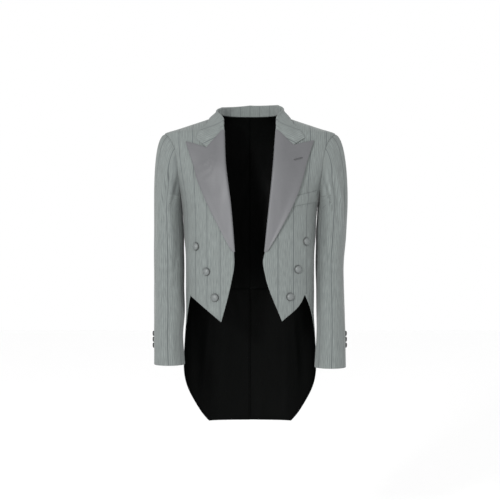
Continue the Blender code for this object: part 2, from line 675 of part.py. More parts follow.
def collar(material, collection):
    """Stand and fall in one, from one gorge seam round the back of the neck to the other."""
    halves = {side: collar_half(side) for side in (RIGHT, LEFT)}
    outer, inner = (np.concatenate([halves[RIGHT][face][:0:-1], halves[LEFT][face]]) for face in (0, 1))
    wall("collar", outer, inner, material, collection)


def pocket_welt(material, collection):
    """Band of cloth laid over the mouth of the breast pocket."""
    corners = [np.array([(turn_at(*place), place[0]) for place in edge]) for edge in (WELT_TOP, WELT_BOTTOM)]
    top, bottom = (straight(start, end, WELT_COLUMNS) for start, end in corners)
    grid = patch(straight(top[0], bottom[0], 2), straight(top[-1], bottom[-1], 2), top, bottom)
    outside = np.full(grid.shape[:2], WELT_GAP + WELT_WALL)
    body_wall("breast_welt", LEFT, grid, material, collection, outside=outside, thickness=WELT_WALL)


def button(name, width, height, place, normal, material, collection):
    """Domed button: half its outline, turned about its own axis, which stands out of the cloth."""
    mesh = bpy.data.meshes.new(name)
    points = [(width / 2 * across, 0, height * up) for across, up in BUTTON_OUTLINE]
    mesh.from_pydata(points, [(number, number + 1) for number in range(len(points) - 1)], [])
    obj = bpy.data.objects.new(name, mesh)
    collection.objects.link(obj)
    turned = obj.modifiers.new("turned", "SCREW")
    turned.steps = turned.render_steps = BUTTON_STEPS
    turned.use_merge_vertices = True
    turned.merge_threshold = 0.00005
    turned.use_smooth_shade = True
    mesh.materials.append(material)
    obj.rotation_mode = "QUATERNION"
    obj.rotation_quaternion = Vector(normal).to_track_quat("Z", "Y")
    obj.location = place + normal * LAID_GAP
    return obj


def body_button(name, size, side, turn, height, material, collection):
    place = body(side, turn, height)
    normal = body_normal(side, turn, height)
    outside = vent_stand_off(side, turn, height) + BUTTON_SEAT
    button(name, *size, place + normal * outside, normal, material, collection)


def buttons(cloth_covered, black, collection):
    for side, places in FRONT_BUTTON_PLACES.items():
        for number, (height, from_centre) in enumerate(places, 1):
            name = f"front_button_{SIDE_NAMES[side]}_{number}"
            turn = turn_at(height, from_centre)
            body_button(name, FRONT_BUTTON, side, turn, height, cloth_covered, collection)
        name = f"back_button_{SIDE_NAMES[side]}"
        body_button(name, BACK_BUTTON, side, BACK_BUTTON_TURN, BACK_BUTTON_HEIGHT, cloth_covered, collection)
        for number, height in enumerate(CUFF_BUTTON_HEIGHTS, 1):
            cuff = SLEEVES[side][-1][0]
            run = 1 + (height - SLEEVE_HEAD_END) / (cuff - SLEEVE_HEAD_END)
            turn = np.array(float(CUFF_BUTTON_TURN))
            place, normal = sleeve(side, turn, run), sleeve_normal(side, turn, np.array(run))
            name = f"cuff_button_{SIDE_NAMES[side]}_{number}"
            button(name, *CUFF_BUTTON, place, normal, black, collection)


def main():
    clear_scene()
    coat = bpy.data.collections.new("white_tie_tailcoat")
    bpy.context.scene.collection.children.link(coat)
    cloth = finish("grey_striped_wool", GREY_CLOTH, 0.85)
    satin = finish("lapel_satin", SATIN, 0.45)
    lining = finish("black_lining", BLACK_LINING, 0.5)
    covered = finish("cloth_covered_button", BUTTON_CLOTH, 0.45)
    black = finish("cuff_button_black", CUFF_BUTTON_BLACK, 0.3)
    for side in (RIGHT, LEFT):
        forepart(side, cloth, coat)
        sidebody(side, cloth, coat)
        back_and_tail(side, cloth, lining, coat)
        (front_top, front_low), (back_top, back_low) = FRONT_SEAM_TURNS, BACK_SEAM_TURNS
        name = SIDE_NAMES[side]
        over = ((back_top - 360, back_low - 360), (front_top, front_low))
        sleeve_piece(f"sleeve_top_{name}", side, over, cloth, coat)
        under = ((front_top, front_low), (back_top, back_low))
        sleeve_piece(f"sleeve_under_{name}", side, under, cloth, coat)
        lapel(side, satin, coat)
    collar(cloth, coat)
    pocket_welt(cloth, coat)
    buttons(covered, black, coat)


main()
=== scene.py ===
"""White tie tailcoat: striped wool, satin lapels, black tail lining and covered buttons.

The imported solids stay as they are. Each piece of cloth is worked out again here from the same
sizes, on a finer grid, with its soft creases, its rounded edges and its grain, and stands for its
solid. Metres, +Z up, the front faces -Y and the wearer's left is +X.

Places on the body of the coat are a turn and a height: 0 degrees at the centre back, 90 at the side
and 180 at the centre front. Places round a sleeve are 0 outward, 90 front, 180 inward, 270 back.
"""

import json
import math

import bpy
import numpy as np
from bpy.props import FloatProperty, FloatVectorProperty, PointerProperty
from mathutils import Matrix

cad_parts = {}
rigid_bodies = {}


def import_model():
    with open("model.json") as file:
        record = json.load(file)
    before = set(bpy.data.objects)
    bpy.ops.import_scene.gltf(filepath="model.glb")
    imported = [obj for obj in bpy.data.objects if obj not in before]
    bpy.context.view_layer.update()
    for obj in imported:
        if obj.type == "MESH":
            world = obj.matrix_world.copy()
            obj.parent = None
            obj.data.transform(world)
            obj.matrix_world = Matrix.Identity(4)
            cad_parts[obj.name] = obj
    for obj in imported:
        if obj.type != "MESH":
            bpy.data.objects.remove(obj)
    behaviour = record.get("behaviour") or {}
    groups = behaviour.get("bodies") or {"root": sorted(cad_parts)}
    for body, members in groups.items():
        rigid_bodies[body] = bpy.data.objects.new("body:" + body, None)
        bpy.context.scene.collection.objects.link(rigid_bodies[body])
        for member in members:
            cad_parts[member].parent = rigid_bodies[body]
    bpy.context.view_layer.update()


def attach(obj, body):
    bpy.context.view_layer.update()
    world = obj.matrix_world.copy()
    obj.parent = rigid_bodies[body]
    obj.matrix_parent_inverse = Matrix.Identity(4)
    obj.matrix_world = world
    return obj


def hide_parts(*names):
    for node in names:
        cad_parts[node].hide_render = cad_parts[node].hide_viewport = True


bl_info = {
    "name": "White tie tailcoat",
    "version": (1, 0, 0),
    "blender": (4, 5, 0),
    "location": "3D View > Sidebar > Tailcoat",
    "description": "Cloth, satin, lining and buttons of a white tie tailcoat, laid over its solids",
    "category": "Object",
}

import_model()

RIGHT = -1
LEFT = 1
SIDE_NAMES = {RIGHT: "right", LEFT: "left"}
BODY = "root"
GRAIN = "cloth_grain"

# Each cell of the solids' grid becomes this many cells each way
FINE = 5

# Lengths that drive the cut, in metres, as in the solids
SEAM_GAP = 0.0003
LINING_GAP = 0.0011
LAID_GAP = 0.0004
SHOULDER_TIP_HEIGHT = -0.053
UNDERARM_HEIGHT = -0.235
WAIST_HEIGHT = -0.490
TAIL_HEM_HEIGHT = -0.873
SLEEVE_HEAD_END = -0.275
HEAD_FULLNESS = 0.45
HEAD_DROP = 0.9
HEAD_STEP = 0.01
HEAD_LEAVES_TOP = np.array([1.0, 0.35, -0.12])
HEAD_LEAVES_FOOT = np.array([0.12, 0.35, -1.0])
VENT_LAP = 0.035
VENT_STAND_OFF = 0.0030
VENT_STAND_RISE = 0.035
VENT_STAND_TURNS = (4, 14)
VENT_TOP_DROP = 0.005

# Cells along each stretch of the cut
NECKLINE_CELLS = 3 * FINE
ROLL_CELLS = 9 * FINE
FRONT_EDGE_CELLS = 4 * FINE
ARMHOLE_STEP = 18 / FINE
SIDE_SEAM_CELLS = 7 * FINE
FOREPART_COLUMNS = 9 * FINE
WAIST_COLUMNS = 3 * FINE
SKIRT_FRONT_COLUMNS = 2 * FINE
BACK_NECK_CELLS = 4 * FINE
BACK_SHOULDER_CELLS = 5 * FINE
BACK_TOP_FADE = 3
TAIL_CELLS = 9 * FINE
SKIRT_COLUMNS = 8 * FINE
GORGE_CELLS = 4 * FINE
NOTCH_CELLS = 3 * FINE
ARC_CELLS = 10
STAND_CELLS = 2 * FINE
SLEEVE_HEAD_CELLS = 6 * FINE
SLEEVE_TUBE_CELLS = 9 * FINE
WELT_COLUMNS = 7 * FINE
RIM_CELLS = 4
# How far a rounded edge is drawn in, as a share of half the wall
EDGE_SHARE = 0.9
# How far past its seam line a rounded edge reaches, so that no light shows through
EDGE_CLOSES = 0.0003

# The coat's body: level sections, each a rounded oblong. Columns: height, half the width, the depth
# in front, the depth behind, and how square it is
SECTIONS = (
    (0.000, 0.078, 0.030, 0.062, 2.2),
    (-0.020, 0.138, 0.046, 0.077, 2.2),
    (-0.040, 0.198, 0.064, 0.088, 2.2),
    (-0.053, 0.2375, 0.074, 0.094, 2.3),
    (-0.065, 0.242, 0.081, 0.099, 2.3),
    (-0.100, 0.243, 0.097, 0.109, 2.3),
    (-0.150, 0.224, 0.117, 0.118, 2.4),
    (-0.235, 0.192, 0.129, 0.121, 2.4),
    (-0.262, 0.186, 0.130, 0.119, 2.4),
    (-0.330, 0.181, 0.129, 0.111, 2.4),
    (-0.430, 0.179, 0.123, 0.104, 2.4),
    (-0.490, 0.179, 0.121, 0.107, 2.4),
    (-0.560, 0.1785, 0.122, 0.120, 2.4),
    (-0.620, 0.1815, 0.122, 0.130, 2.4),
    (-0.700, 0.188, 0.122, 0.138, 2.5),
    (-0.780, 0.191, 0.122, 0.142, 2.6),
    (-0.880, 0.187, 0.122, 0.143, 2.6),
)

# Soft folds. Columns: turn, height, reach in turn, reach in height, slant in degrees a metre, and
# depth, outwards where it is above nought. The solids have the first ones too
BODY_FOLDS = (
    (122, -0.150, 7, 0.060, 60, -0.0030),
    (112, -0.400, 9, 0.050, -80, 0.0030),
    (64, -0.400, 8, 0.060, 60, -0.0030),
    (46, -0.250, 8, 0.080, -50, 0.0030),
    (76, -0.650, 7, 0.110, 30, 0.0040),
    (59, -0.700, 7, 0.140, 20, -0.0045),
    (38, -0.740, 7, 0.150, 10, 0.0040),
)
BODY_CREASES = {
    RIGHT: (
        (131, -0.180, 3.0, 0.050, 90, -0.0012),
        (126, -0.215, 3.5, 0.060, 120, 0.0012),
        (118, -0.300, 4.0, 0.045, -110, -0.0014),
        (124, -0.345, 4.0, 0.030, -160, 0.0010),
        (129, -0.440, 4.5, 0.035, 190, -0.0012),
        (137, -0.470, 4.0, 0.045, 150, 0.0012),
        (108, -0.470, 3.5, 0.025, -120, -0.0010),
        (60, -0.160, 4.0, 0.055, -60, -0.0014),
        (51, -0.185, 3.5, 0.070, -40, 0.0012),
        (30, -0.120, 6.0, 0.030, -120, 0.0010),
        (18, -0.300, 5.0, 0.080, 30, -0.0012),
        (34, -0.430, 4.0, 0.030, 90, 0.0012),
        (12, -0.480, 5.0, 0.022, 60, -0.0010),
        (68, -0.560, 3.0, 0.060, 20, -0.0014),
        (50, -0.620, 3.0, 0.090, -10, 0.0014),
        (29, -0.640, 3.0, 0.110, 8, -0.0012),
        (82, -0.610, 2.6, 0.055, 35, 0.0012),
        (90, -0.270, 14.0, 0.040, 0, 0.0034),
        (90, -0.335, 14.0, 0.040, 0, 0.0038),
    ),
    LEFT: (
        (129, -0.165, 3.5, 0.045, 80, -0.0013),
        (120, -0.235, 3.5, 0.055, 100, 0.0012),
        (127, -0.290, 4.0, 0.060, -90, -0.0012),
        (115, -0.360, 3.5, 0.035, -150, 0.0012),
        (133, -0.410, 4.5, 0.040, 160, -0.0012),
        (122, -0.455, 4.0, 0.035, 120, 0.0010),
        (108, -0.440, 3.5, 0.030, -140, -0.0010),
        (57, -0.175, 4.0, 0.060, -70, -0.0012),
        (47, -0.205, 3.5, 0.055, -30, 0.0012),
        (26, -0.110, 6.0, 0.034, -100, 0.0010),
        (14, -0.260, 5.0, 0.070, 40, -0.0012),
        (31, -0.445, 4.0, 0.028, 110, 0.0010),
        (70, -0.590, 3.0, 0.070, 25, -0.0012),
        (53, -0.660, 3.0, 0.080, 0, 0.0014),
        (31, -0.600, 3.0, 0.120, -6, -0.0012),
        (86, -0.600, 2.6, 0.050, 30, 0.0012),
        (90, -0.270, 14.0, 0.040, 0, 0.0022),
        (90, -0.335, 14.0, 0.040, 0, 0.0030),
    ),
}

ARMHOLE_TURN_REACH = {"front": 18.0, "back": 17.0}
FOREPART_SEAM_START = 162
BACK_SEAM_START = 252
NECK_SIDE = ((118.4, -0.022), (127.0, -0.035))

# Sleeves, each side as worn. Columns: height, outer and inner reach from the coat's centre line,
# depth of the middle and half the depth of the tube
SLEEVES = {
    RIGHT: (
        (-0.275, 0.2680, 0.1900, 0.000, 0.066),
        (-0.340, 0.2685, 0.1868, 0.003, 0.064),
        (-0.410, 0.2690, 0.1838, 0.006, 0.060),
        (-0.480, 0.2685, 0.1838, -0.003, 0.058),
        (-0.560, 0.2670, 0.1818, -0.020, 0.055),
        (-0.610, 0.2655, 0.1850, -0.032, 0.053),
        (-0.692, 0.2640, 0.1790, -0.052, 0.050),
    ),
    LEFT: (
        (-0.275, 0.2720, 0.1890, 0.000, 0.066),
        (-0.340, 0.2690, 0.1862, 0.003, 0.064),
        (-0.410, 0.2630, 0.1835, 0.006, 0.060),
        (-0.480, 0.2630, 0.1850, -0.003, 0.058),
        (-0.560, 0.2640, 0.1850, -0.020, 0.055),
        (-0.610, 0.2640, 0.1840, -0.032, 0.053),
        (-0.700, 0.2640, 0.1775, -0.052, 0.050),
    ),
}
SLEEVE_FOLDS = (
    (70, -0.300, 16, 0.050, 30, -0.0040),
    (105, -0.350, 14, 0.060, 20, 0.0035),
    (95, -0.450, 18, 0.030, 60, -0.0040),
    (130, -0.500, 16, 0.035, 50, 0.0035),
    (255, -0.440, 20, 0.040, 70, -0.0040),
    (20, -0.520, 18, 0.060, 15, -0.0025),
)
SLEEVE_CREASE_DEPTH = 1.7
# How far below the body's surface the sleeve starts, so that the armhole seam reads as a line
ARMHOLE_VALLEY = 0.0022
SLEEVE_CREASES = {
    RIGHT: (
        (118, -0.200, 9, 0.055, 60, -0.0030),
        (100, -0.215, 8, 0.070, 40, 0.0026),
        (82, -0.190, 9, 0.060, 30, -0.0028),
        (60, -0.230, 9, 0.070, 50, 0.0020),
        (88, -0.300, 8, 0.045, 150, -0.0018),
        (120, -0.420, 9, 0.030, 260, -0.0024),
        (102, -0.470, 8, 0.026, 300, 0.0022),
        (80, -0.500, 9, 0.030, 260, -0.0018),
        (60, -0.400, 10, 0.050, 120, 0.0016),
        (95, -0.610, 8, 0.045, 90, -0.0016),
        (112, -0.645, 9, 0.040, 60, 0.0014),
        (30, -0.330, 10, 0.060, 80, -0.0016),
        (300, -0.220, 12, 0.060, -40, -0.0026),
        (280, -0.250, 10, 0.070, -30, 0.0024),
        (310, -0.420, 10, 0.040, -200, -0.0020),
        (285, -0.460, 10, 0.030, -260, 0.0020),
        (265, -0.520, 10, 0.035, -180, -0.0018),
        (330, -0.580, 9, 0.060, 60, 0.0014),
        (180, -0.275, 25, 0.040, 0, 0.0026),
        (180, -0.335, 25, 0.040, 0, 0.0034),
    ),
    LEFT: (
        (112, -0.205, 9, 0.060, 70, -0.0026),
        (96, -0.225, 8, 0.065, 50, 0.0022),
        (76, -0.200, 9, 0.055, 40, -0.0026),
        (40, -0.240, 10, 0.090, 30, -0.0022),
        (58, -0.250, 9, 0.080, 30, 0.0020),
        (85, -0.340, 8, 0.050, 130, -0.0018),
        (110, -0.400, 9, 0.030, 280, -0.0022),
        (90, -0.440, 8, 0.028, 280, 0.0022),
        (70, -0.480, 9, 0.030, 240, -0.0018),
        (104, -0.560, 9, 0.045, 110, -0.0016),
        (80, -0.620, 9, 0.050, 80, 0.0014),
        (20, -0.360, 10, 0.070, 60, -0.0016),
        (305, -0.215, 12, 0.065, -50, -0.0024),
        (286, -0.260, 10, 0.060, -40, 0.0024),
        (315, -0.400, 10, 0.045, -180, -0.0020),
        (290, -0.450, 10, 0.032, -240, 0.0020),
        (270, -0.500, 10, 0.036, -200, -0.0018),
        (335, -0.560, 9, 0.055, 50, 0.0014),
        (180, -0.275, 25, 0.040, 0, 0.0016),
        (180, -0.335, 25, 0.040, 0, 0.0026),
    ),
}
FRONT_SEAM_TURNS = (144, 130)
BACK_SEAM_TURNS = (252, 322)

# Front edge of each forepart, seen from the front. Columns: height, and distance from the centre
ROLL_LINES = {
    RIGHT: ((-0.051, 0.0722), (-0.142, 0.0676), (-0.263, 0.0528), (-0.383, 0.0431)),
    LEFT: ((-0.051, 0.0722), (-0.166, 0.0626), (-0.287, 0.0504), (-0.383, 0.0407)),
}
FRONT_EDGES = {
    RIGHT: ((-0.383, 0.0431), (-0.4165, 0.0423), (-0.4645, 0.0505), (-0.573, 0.0780)),
    LEFT: ((-0.383, 0.0407), (-0.4069, 0.0352), (-0.4453, 0.0408), (-0.571, 0.0867)),
}
FRONT_HEMS = {
    RIGHT: ((-0.573, 0.0780), (-0.538, 0.1210), (-0.503, 0.1640)),
    LEFT: ((-0.571, 0.0867), (-0.521, 0.1400), (-0.500, 0.1500)),
}
NOTCHES = {RIGHT: (-0.0995, 0.1193), LEFT: (-0.0926, 0.1193)}
PEAKS = {RIGHT: (-0.081, 0.1750), LEFT: (-0.079, 0.1733)}
COLLAR_CORNERS = {RIGHT: (-0.0735, 0.1469), LEFT: (-0.0720, 0.1493)}
LAPEL_EDGES = {
    RIGHT: ((-0.081, 0.1750), (-0.172, 0.1477), (-0.3205, 0.0817), (-0.380, 0.0500)),
    LEFT: ((-0.079, 0.1733), (-0.194, 0.1377), (-0.262, 0.1107), (-0.330, 0.0767), (-0.380, 0.0480)),
}
ROLL_RADIUS = 0.0035
# The fold of the collar is tighter here than in its solid
COLLAR_ROLL_RADIUS = 0.0020
ROLL_FOOT_RADIUS = 0.0012
LAPEL_EDGE_REST = 0.0014
COLLAR_EDGE_REST = 0.0022
COLLAR_END_FADE = 8
# Stripes cross the collar: how far out they are measured round the neck
COLLAR_GRAIN_REACH = 0.10
# Below this height the stripes are carried out, by this share of the drop
COLLAR_GRAIN_DROPS_FROM = 0.02
COLLAR_GRAIN_DROP = 0.8
LAPEL_FALL = 1.4
COLLAR_FALL = 0.42
# Free edge of the collar. Columns: cells from the centre back, turn, and height
COLLAR_OUTER = (
    (0, 0, -0.0130),
    (2, 45, -0.0115),
    (4, 90, -0.0075),
    (5, 105.9, -0.0225),
    (6, 113.8, -0.0450),
)
COLLAR_STANDS = {
    RIGHT: ((0, 0.030), (4, 0.017), (5, 0.012), (6, 0.006), (7, 0.0)),
    LEFT: ((0, 0.030), (4, 0.023), (5, 0.016), (6, 0.008), (7, 0.0)),
}
# How far the lapel's cloth lifts. Columns: place down the roll line and place across, each as a
# share, their reaches, slant, and lift
LAPEL_LIFTS = {
    RIGHT: (
        (0.150, 0.60, 0.009, 0.30, 0.24, 0.0019),
        (0.178, 0.58, 0.009, 0.28, 0.25, -0.0016),
        (0.215, 0.66, 0.010, 0.34, 0.28, 0.0019),
        (0.250, 0.60, 0.010, 0.30, 0.27, -0.0016),
        (0.285, 0.66, 0.012, 0.26, 0.25, 0.0014),
        (0.340, 0.80, 0.030, 0.20, 0.12, 0.0010),
        (0.30, 1.00, 0.030, 0.10, 0.00, 0.0016),
        (0.66, 0.60, 0.200, 0.25, 0.10, 0.0012),
        (0.50, 1.00, 0.400, 0.16, 0.00, 0.0012),
    ),
    LEFT: (
        (0.14, 0.55, 0.050, 0.25, -0.25, 0.0010),
        (0.40, 0.55, 0.160, 0.20, -0.20, 0.0010),
        (0.62, 0.40, 0.100, 0.22, 0.30, -0.0008),
        (0.50, 1.00, 0.450, 0.18, 0.00, 0.0062),
    ),
}

# Seams of the back, and the free front edge of the tails
FOREPART_SEAM_TURNS = (100.0, 103.0)
BACK_SEAM = ((-0.240, 60.0), (-0.330, 40.0), (-0.420, 27.0), (-0.490, 23.0))
TAIL_SEAM_TURNS = (23.0, 25.0)
TAIL_EDGE_LOW = ((-0.690, 82.0), (-0.750, 72.0), (-0.805, 61.0), (-0.845, 52.0))
TAIL_EDGE_TURNS = {
    RIGHT: ((-0.550, 103.0), (-0.620, 92.0), *TAIL_EDGE_LOW),
    LEFT: ((-0.545, 107.0), (-0.600, 96.0), *TAIL_EDGE_LOW),
}
TAIL_CORNER_TURN = 44.0
LINING_SETBACK = 0.006
LINING_VENT_TURN = 1.5
# How sharply the lining's setback keeps to its edges, and the reach of the body that it is taken at
LINING_HOLD = 8
LINING_REACH = 0.15

WELT_TOP = ((-0.2325, 0.1235), (-0.2150, 0.1835))
WELT_BOTTOM = ((-0.2600, 0.1145), (-0.2430, 0.1815))
WELT_WALL = 0.0015
WELT_GAP = 0.0006
WELT_ROWS = 14
WELT_CROWN = 0.0008
# Columns of the forepart, from its front edge, whose inside is wool
FOREPART_FACING = 16

FRONT_BUTTON_PLACES = {
    RIGHT: ((-0.368, 0.1460), (-0.437, 0.1190), (-0.507, 0.0950)),
    LEFT: ((-0.3546, 0.1520), (-0.4305, 0.1300), (-0.505, 0.1085)),
}
CUFF_BUTTON_HEIGHTS = (-0.610, -0.626, -0.642)
CUFF_BUTTON_TURN = -16
BACK_BUTTON_TURN = 21
BACK_BUTTON_HEIGHT = -0.474
BUTTON_SEAT = 0.0003
BUTTON_TURNS = 48
# Half the outline of a button, as shares of its half width and of its height
COVERED_OUTLINE = (
    (0.0, 1.0), (0.18, 0.985), (0.36, 0.94), (0.54, 0.85), (0.70, 0.72), (0.83, 0.55),
    (0.93, 0.37), (0.985, 0.22), (1.0, 0.14), (0.985, 0.07), (0.93, 0.02), (0.84, 0.0), (0.0, 0.0),
)
HORN_OUTLINE = (
    (0.0, 0.62), (0.22, 0.62), (0.46, 0.66), (0.62, 0.80), (0.74, 0.96), (0.84, 1.0),
    (0.93, 0.92), (0.99, 0.68), (1.0, 0.42), (0.96, 0.18), (0.86, 0.0), (0.0, 0.0),
)

# Worked buttonhole of the wearer's left lapel: its two ends, seen from the front
BUTTONHOLE_ENDS = ((-0.1335, 0.1195), (-0.1272, 0.1424))
BUTTONHOLE_HALF_WIDTH = 0.0014
BUTTONHOLE_BEAD = 0.0007
BUTTONHOLE_POINTS = 72
BUTTONHOLE_SIDES = 8
BUTTONHOLE_NEAREST = 6

# Where the dark stripes start round the body, and how much closer than usual they run
STRIPE_STARTS = {RIGHT: 0.0050, LEFT: 0.0310}
STRIPE_SPREADS = {RIGHT: 1.18, LEFT: 1.0}

# Unevenness of worn wool. Columns: waves in turn, waves in height, shift, and share
RIPPLES = ((5.2, 31, 0.7, 1.0), (8.9, -17, 2.1, 0.8), (3.1, -58, 4.0, 0.7))
RIPPLE_DEPTH = 0.00018
RIPPLE_START = 0.02
RIPPLE_REACH = 0.06

# Where the grain turns from the plain distance over the shoulders into the way round the body
GRAIN_TURNS_BELOW = 0.05
GRAIN_TURNS_OVER = 0.12

# The sleeve's creases start over this share of its head, and have less room towards the body
SLEEVE_CREASE_START = 0.35
SLEEVE_INNER_ROOM = 0.35
SLEEVE_INNER_REACH = 0.9
SLEEVE_GRAIN_TURNS_OVER = 0.05

TWILL_PITCH = 0.0012
# Middle part of a noise, where nearly all of it lies
NOISE_MIDDLE = (0.3, 0.7)

# Studio. Columns of the lamps: name, place, size and power
FLOOR_REACH = 12.0
FLOOR_HEIGHT = -1.42
FLOOR_GRAIN = 40.0
LAMPS = (
    ("key_light", (-1.7, -3.9, 0.75), 0.5, 124.0),
    ("fill_light", (2.2, -3.4, -0.3), 2.4, 16.0),
    ("top_light", (0.0, -0.6, 2.6), 2.6, 0.5),
)
LAMP_AIM = (0, 0, -0.35)
CAMERA_LENS = 84.9
CAMERA_PLACE = (0, -3.3, -0.378)


def smooth(at, places, values):
    """Cubic curve through the values, its slope at each taken from the values beside it."""
    places = np.asarray(places, float)
    values = np.asarray(values, float)
    if places[0] > places[-1]:
        places = places[::-1]
        values = values[::-1]
    slopes = np.gradient(values, places, axis=0)
    at = np.clip(np.asarray(at, float), places[0], places[-1])
    row = np.clip(np.searchsorted(places, at) - 1, 0, len(places) - 2)
    width = places[row + 1] - places[row]
    share = (at - places[row]) / width
    start = (1 + 2 * share) * (1 - share) ** 2
    leave = share * (1 - share) ** 2 * width
    arrive = share**2 * (share - 1) * width
    if values.ndim == 2:
        start, leave, arrive = start[..., None], leave[..., None], arrive[..., None]
    between = start * values[row] + (1 - start) * values[row + 1]
    return between + leave * slopes[row] + arrive * slopes[row + 1]


def ease(share):
    """0 to 1 with level ends."""
    share = np.clip(share, 0, 1)
    return share * share * (3 - 2 * share)


def unit(vectors):
    return vectors / np.linalg.norm(vectors, axis=-1, keepdims=True)


def folds(table, turn, height):
    """Sum of soft troughs and ridges, each a bell on a slanted oval in turn and height."""
    total = np.zeros(np.broadcast(turn, height).shape)
    for fold_turn, fold_height, turn_reach, height_reach, slant, depth in table:
        across = (turn - fold_turn - slant * (height - fold_height)) / turn_reach
        along = (height - fold_height) / height_reach
        total = total + depth * np.exp(-(across**2) - along**2)
    return total


def ripple(turn, height):
    """Very shallow unevenness of worn wool: three slow waves of unlike lengths, added."""
    total = 0.0
    for by_turn, by_height, shift, share in RIPPLES:
        total = total + share * np.sin(np.radians(by_turn * turn) + by_height * height + shift)
    return RIPPLE_DEPTH * total


def body(side, turn, height):
    """Point of the coat's outer surface: at each height a rounded oblong, |sin / width| and
    |cos / depth| to the squareness adding up to 1, moved outwards by the folds."""
    turn, height = np.broadcast_arrays(np.asarray(turn, float), np.asarray(height, float))
    shape = smooth(height, [row[0] for row in SECTIONS], [row[1:] for row in SECTIONS])
    width, front, back, power = np.moveaxis(shape, -1, 0)
    depth = np.where(turn > 90, front, back)
    angle = np.radians(turn)
    rounded = np.abs(np.cos(angle) / depth) ** power + np.abs(np.sin(angle) / width) ** power
    reach = rounded ** (-1 / power)
    reach = reach + folds(BODY_FOLDS, turn, height) + folds(BODY_CREASES[side], turn, height)
    reach = reach + ripple(turn, height) * ease((-height - RIPPLE_START) / RIPPLE_REACH)
    return np.stack([side * reach * np.sin(angle), reach * np.cos(angle), height], -1)


def body_normal(side, turn, height):
    """Unit vector out of the cloth, from small steps of turn and of height."""
    turn = np.asarray(turn, float)
    height = np.asarray(height, float)
    by_turn = body(side, turn + 0.1, height) - body(side, turn - 0.1, height)
    by_height = body(side, turn, height + 0.0005) - body(side, turn, height - 0.0005)
    return unit(np.cross(by_height, by_turn)) * side


def turn_at(height, from_centre):
    """The turn of a point on the front that lies this far from the centre line."""
    shape = smooth(height, [row[0] for row in SECTIONS], [row[1:] for row in SECTIONS])
    width, front, _, power = shape.T
    depth = front * (1 - np.abs(from_centre / width) ** power) ** (1 / power)
    return np.degrees(np.arctan2(from_centre, -depth))


def front_curve(table, cells):
    """Evenly spaced (turn, height) points along a front edge given as heights and distances."""
    table = np.array(table)
    walked = np.concatenate([[0], np.cumsum(np.linalg.norm(np.diff(table, axis=0), axis=1))])
    points = smooth(np.linspace(0, walked[-1], cells + 1), walked, table)
    return np.stack([turn_at(points[:, 0], points[:, 1]), points[:, 0]], -1)


def straight(start, end, cells):
    return np.linspace(start, end, cells + 1)


def curve_through(points, cells):
    """Smooth curve through the points, with as many cells between any two of them."""
    points = np.array(points)
    return smooth(np.linspace(0, len(points) - 1, cells + 1), np.arange(len(points)), points)


def armhole(turns):
    """(turn, height) on the body of points round the armhole, 0 at the shoulder tip and 90 in front."""
    angle = np.radians(turns)
    middle = (SHOULDER_TIP_HEIGHT + UNDERARM_HEIGHT) / 2
    half_height = (SHOULDER_TIP_HEIGHT - UNDERARM_HEIGHT) / 2
    reach = np.where(np.sin(angle) > 0, ARMHOLE_TURN_REACH["front"], ARMHOLE_TURN_REACH["back"])
    return np.stack([90 + reach * np.sin(angle), middle + half_height * np.cos(angle)], -1)


def armhole_turns(start, end):
    return np.linspace(start, end, round((end - start) / ARMHOLE_STEP) + 1)


def patch(first, last, top, bottom, top_fade=1, bottom_fade=1):
    """Grid between four edges: ruled from side to side, plus how far the top and the bottom edges
    bend away from straight, each fading towards the other."""
    down = np.linspace(0, 1, len(first))[:, None, None]
    across = np.linspace(0, 1, len(top))[:, None]
    ruled = (1 - across) * first[:, None] + across * last[:, None]
    top_bend = top - ((1 - across) * top[0] + across * top[-1])
    bottom_bend = bottom - ((1 - across) * bottom[0] + across * bottom[-1])
    return ruled + (1 - down) ** top_fade * top_bend + down**bottom_fade * bottom_bend


def joined(*stretches):
    """Stretches of points end to end, each shared point kept once."""
    return np.concatenate([stretches[0]] + [stretch[1:] for stretch in stretches[1:]])


def square_to(edge, beside):
    """Unit vectors from an edge towards the points beside it, square to the edge."""
    along = unit(np.gradient(edge, axis=0))
    inward = beside - edge
    return unit(inward - np.sum(inward * along, axis=-1, keepdims=True) * along)


def drawn_in(points, outer, gap):
    """Draws each edge of a grid in by a gap, the way the outer face of the cloth runs there."""
    shift = np.zeros_like(points)
    shift[0] += gap * square_to(outer[0], outer[1])
    shift[-1] += gap * square_to(outer[-1], outer[-2])
    shift[:, 0] += gap * square_to(outer[:, 0], outer[:, 1])
    shift[:, -1] += gap * square_to(outer[:, -1], outer[:, -2])
    return points + shift


def signed_volume(points, faces):
    """Volume that the faces close in, above nought where they point outwards."""
    first, second, third, fourth = (points[faces[:, corner]] for corner in range(4))
    return (np.sum(first * np.cross(second, third)) + np.sum(first * np.cross(third, fourth))) / 6


def ring_of(grid):
    """The edge of a grid, once round, as one row of points."""
    return np.concatenate([grid[0, :-1], grid[:-1, -1], grid[-1, :0:-1], grid[:0:-1, 0]])


def put_mesh(name, points, faces, grain, materials, kinds=0):
    """One smooth mesh from whole arrays: points, faces, the grain of each point, face materials."""
    if not np.isfinite(points).all():
        raise RuntimeError(f"{name}: a point could not be worked out")
    mesh = bpy.data.meshes.new(name)
    mesh.from_pydata(points.tolist(), [], faces)
    layer = mesh.uv_layers.new(name=GRAIN)
    corners = np.empty(len(mesh.loops), np.int32)
    mesh.loops.foreach_get("vertex_index", corners)
    layer.data.foreach_set("uv", grain[corners].astype(np.float32).ravel())
    for material in materials:
        mesh.materials.append(material)
    kinds = np.broadcast_to(kinds, len(faces)).astype(np.int32)
    mesh.polygons.foreach_set("material_index", kinds)
    mesh.polygons.foreach_set("use_smooth", np.ones(len(faces), bool))
    mesh.update()
    obj = bpy.data.objects.new(name, mesh)
    bpy.context.scene.collection.objects.link(obj)
    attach(obj, BODY)
    return obj


